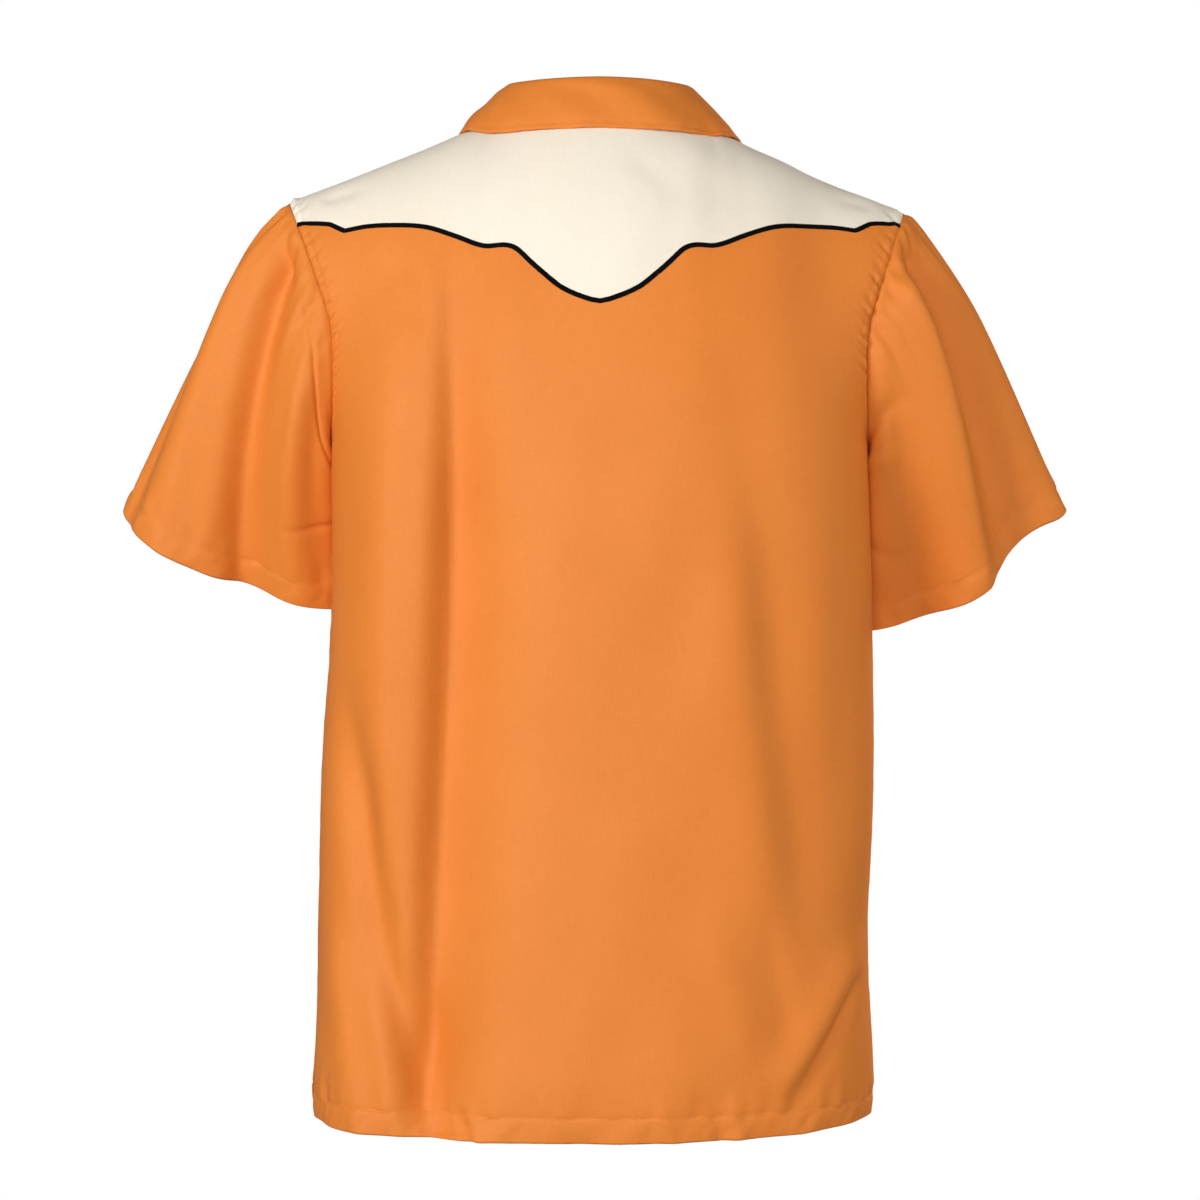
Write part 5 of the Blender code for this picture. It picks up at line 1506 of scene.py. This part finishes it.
sleeve_left = make_sleeve(LEFT, "sleeve_left_panel", "sleeve_left")
sleeve_right = make_sleeve(RIGHT, "sleeve_right_panel", "sleeve_right")

# ------------------------------------------------------------ buttons and buttonholes

BUTTONHOLE_HALF_LENGTH = 0.0076
BUTTONHOLE_HALF_WIDTH = 0.0012
BUTTONHOLE_SQUARENESS = 0.4
THREAD_HOLE_OFFSET = 0.0013
THREAD_OVERHANG = 1.3
BUTTON_THREAD_LIFT = 0.0001
BUTTON_RECESS = 0.0006
BUTTONHOLE_DROP = 0.25 * BUTTONHOLE_HALF_LENGTH


def sew_buttonhole(x, height):
    """Close stitches all round an upright buttonhole; its button hides the middle of it."""
    turn = np.linspace(0, 2 * np.pi, 81)
    aside, up = [
        np.sign(swing) * np.abs(swing) ** BUTTONHOLE_SQUARENESS
        for swing in (np.cos(turn), np.sin(turn))
    ]
    across, rise = place_on(
        x + BUTTONHOLE_HALF_WIDTH * aside, height + BUTTONHOLE_HALF_LENGTH * up, FRONT
    )
    sew("buttonhole_stitches", *on_front(LEFT, across, rise, 0.0))


def sew_button(node):
    """Two bars of thread through a button's four holes."""
    corners = np.array([node.matrix_world @ v.co for v in node.data.vertices])
    middle = (corners.min(axis=0) + corners.max(axis=0)) / 2
    across, rise = place_on(middle[0], middle[2], FRONT)
    _, normal = on_front(LEFT, across, rise, 0.0)
    top = np.max((corners - middle) @ normal) - BUTTON_RECESS
    up = unit(np.array((0, 0, 1)) - normal * normal[2])
    aside = np.cross(up, normal)
    half = up * THREAD_HOLE_OFFSET * THREAD_OVERHANG
    for side in (-1, 1):
        between_holes = middle + normal * top + aside * THREAD_HOLE_OFFSET * side
        path = np.stack([between_holes - half, between_holes + half])
        sew("button_thread", path, np.stack([normal, normal]), BUTTON_THREAD_LIFT)
    return middle


for index in range(BUTTON_COUNT):
    node = frame["nodes"][f"button_{index + 1}"]
    node.data.materials.clear()
    node.data.materials.append(button_resin)
    button_middle = sew_button(node)
    sew_buttonhole(button_middle[0], button_middle[2] - BUTTONHOLE_DROP)

FINE_STITCHES = {
    "buttonhole_stitches": {"length": 0.0011, "pitch": 0.0007, "half": 0.00034},
    "button_thread": {"length": 0.0034, "pitch": 0.0030, "half": 0.00045},
}
for row_name in sorted(stitch_rows):
    make_stitches(row_name, orange_thread, "orange_cotton", **FINE_STITCHES.get(row_name, {}))

# ------------------------------------------------------------ light and camera

SURROUNDING_LIGHT = 0.23
FLOOR_HEIGHT = -1.15
FLOOR_RADIUS = 2.4


def white_all_round(tree, kind, output):
    """Pure white to the camera, and a weak even light on everything else."""
    white = (1, 1, 1, 1)
    seen = add(tree, "ShaderNodeLightPath", {})
    soft = add(tree, kind, {"Color": white, "Strength": SURROUNDING_LIGHT})
    plain = add(tree, kind, {"Color": white, "Strength": 1.0})
    both = add(
        tree, "ShaderNodeMixShader", {0: (seen, "Is Camera Ray"), 1: (soft, 0), 2: (plain, 0)}
    )
    add(tree, output, {"Surface": (both, "Shader")})


world = bpy.data.worlds.new("white_studio")
bpy.context.scene.world = world
world.use_nodes = True
world.node_tree.nodes.clear()
white_all_round(world.node_tree, "ShaderNodeBackground", "ShaderNodeOutputWorld")

floor_paper = new_material("white_backdrop_paper")
white_all_round(floor_paper.node_tree, "ShaderNodeEmission", "ShaderNodeOutputMaterial")
bpy.ops.object.select_all(action="DESELECT")
bpy.ops.mesh.primitive_circle_add(
    vertices=96, radius=FLOOR_RADIUS, fill_type="NGON", location=(0, 0, FLOOR_HEIGHT)
)
floor = bpy.context.object
floor.name = "studio_floor"
floor.data.materials.append(floor_paper)

SHIRT_MIDDLE = Vector((0, 0, -0.35))
CAMERA_DISTANCE = 2.5
METRES_PER_PIXEL = 0.00074
PHOTO_WIDTH = 1200
SENSOR = 36.0


def area_light(name, place, size, power, glossy=False):
    """A round softbox aimed at the shirt; the cloth shines only in a glossy one."""
    lamp = bpy.data.lights.new(name, "AREA")
    lamp.shape = "DISK"
    lamp.size = size
    lamp.energy = power
    holder = bpy.data.objects.new(name, lamp)
    holder.location = place
    holder.rotation_euler = (SHIRT_MIDDLE - Vector(place)).to_track_quat("-Z", "Y").to_euler()
    holder.visible_glossy = glossy
    bpy.context.scene.collection.objects.link(holder)


area_light("left_softbox", (2.05, 2.30, 0.14), 1.1, 57, glossy=True)
area_light("camera_softbox", (0.10, 3.13, -0.04), 1.2, 48, glossy=True)
area_light("right_softbox", (-2.95, 0.50, 0.00), 1.6, 26)
area_light("front_softbox", (-1.5, -2.7, 0.25), 1.2, 105)

camera_data = bpy.data.cameras.new("camera")
camera_data.sensor_width = SENSOR
camera_data.lens = CAMERA_DISTANCE / (PHOTO_WIDTH * METRES_PER_PIXEL) * SENSOR
camera = bpy.data.objects.new("camera", camera_data)
camera.location = SHIRT_MIDDLE + Vector((0, CAMERA_DISTANCE, 0))
camera.rotation_euler = (QUARTER, 0, math.pi)
bpy.context.scene.collection.objects.link(camera)
bpy.context.scene.camera = camera
bpy.context.scene.view_settings.view_transform = "Standard"

# ------------------------------------------------------------ a record for the cut of a panel, laid flat

Cut = namedtuple("Cut", "piece width length area rests_on")
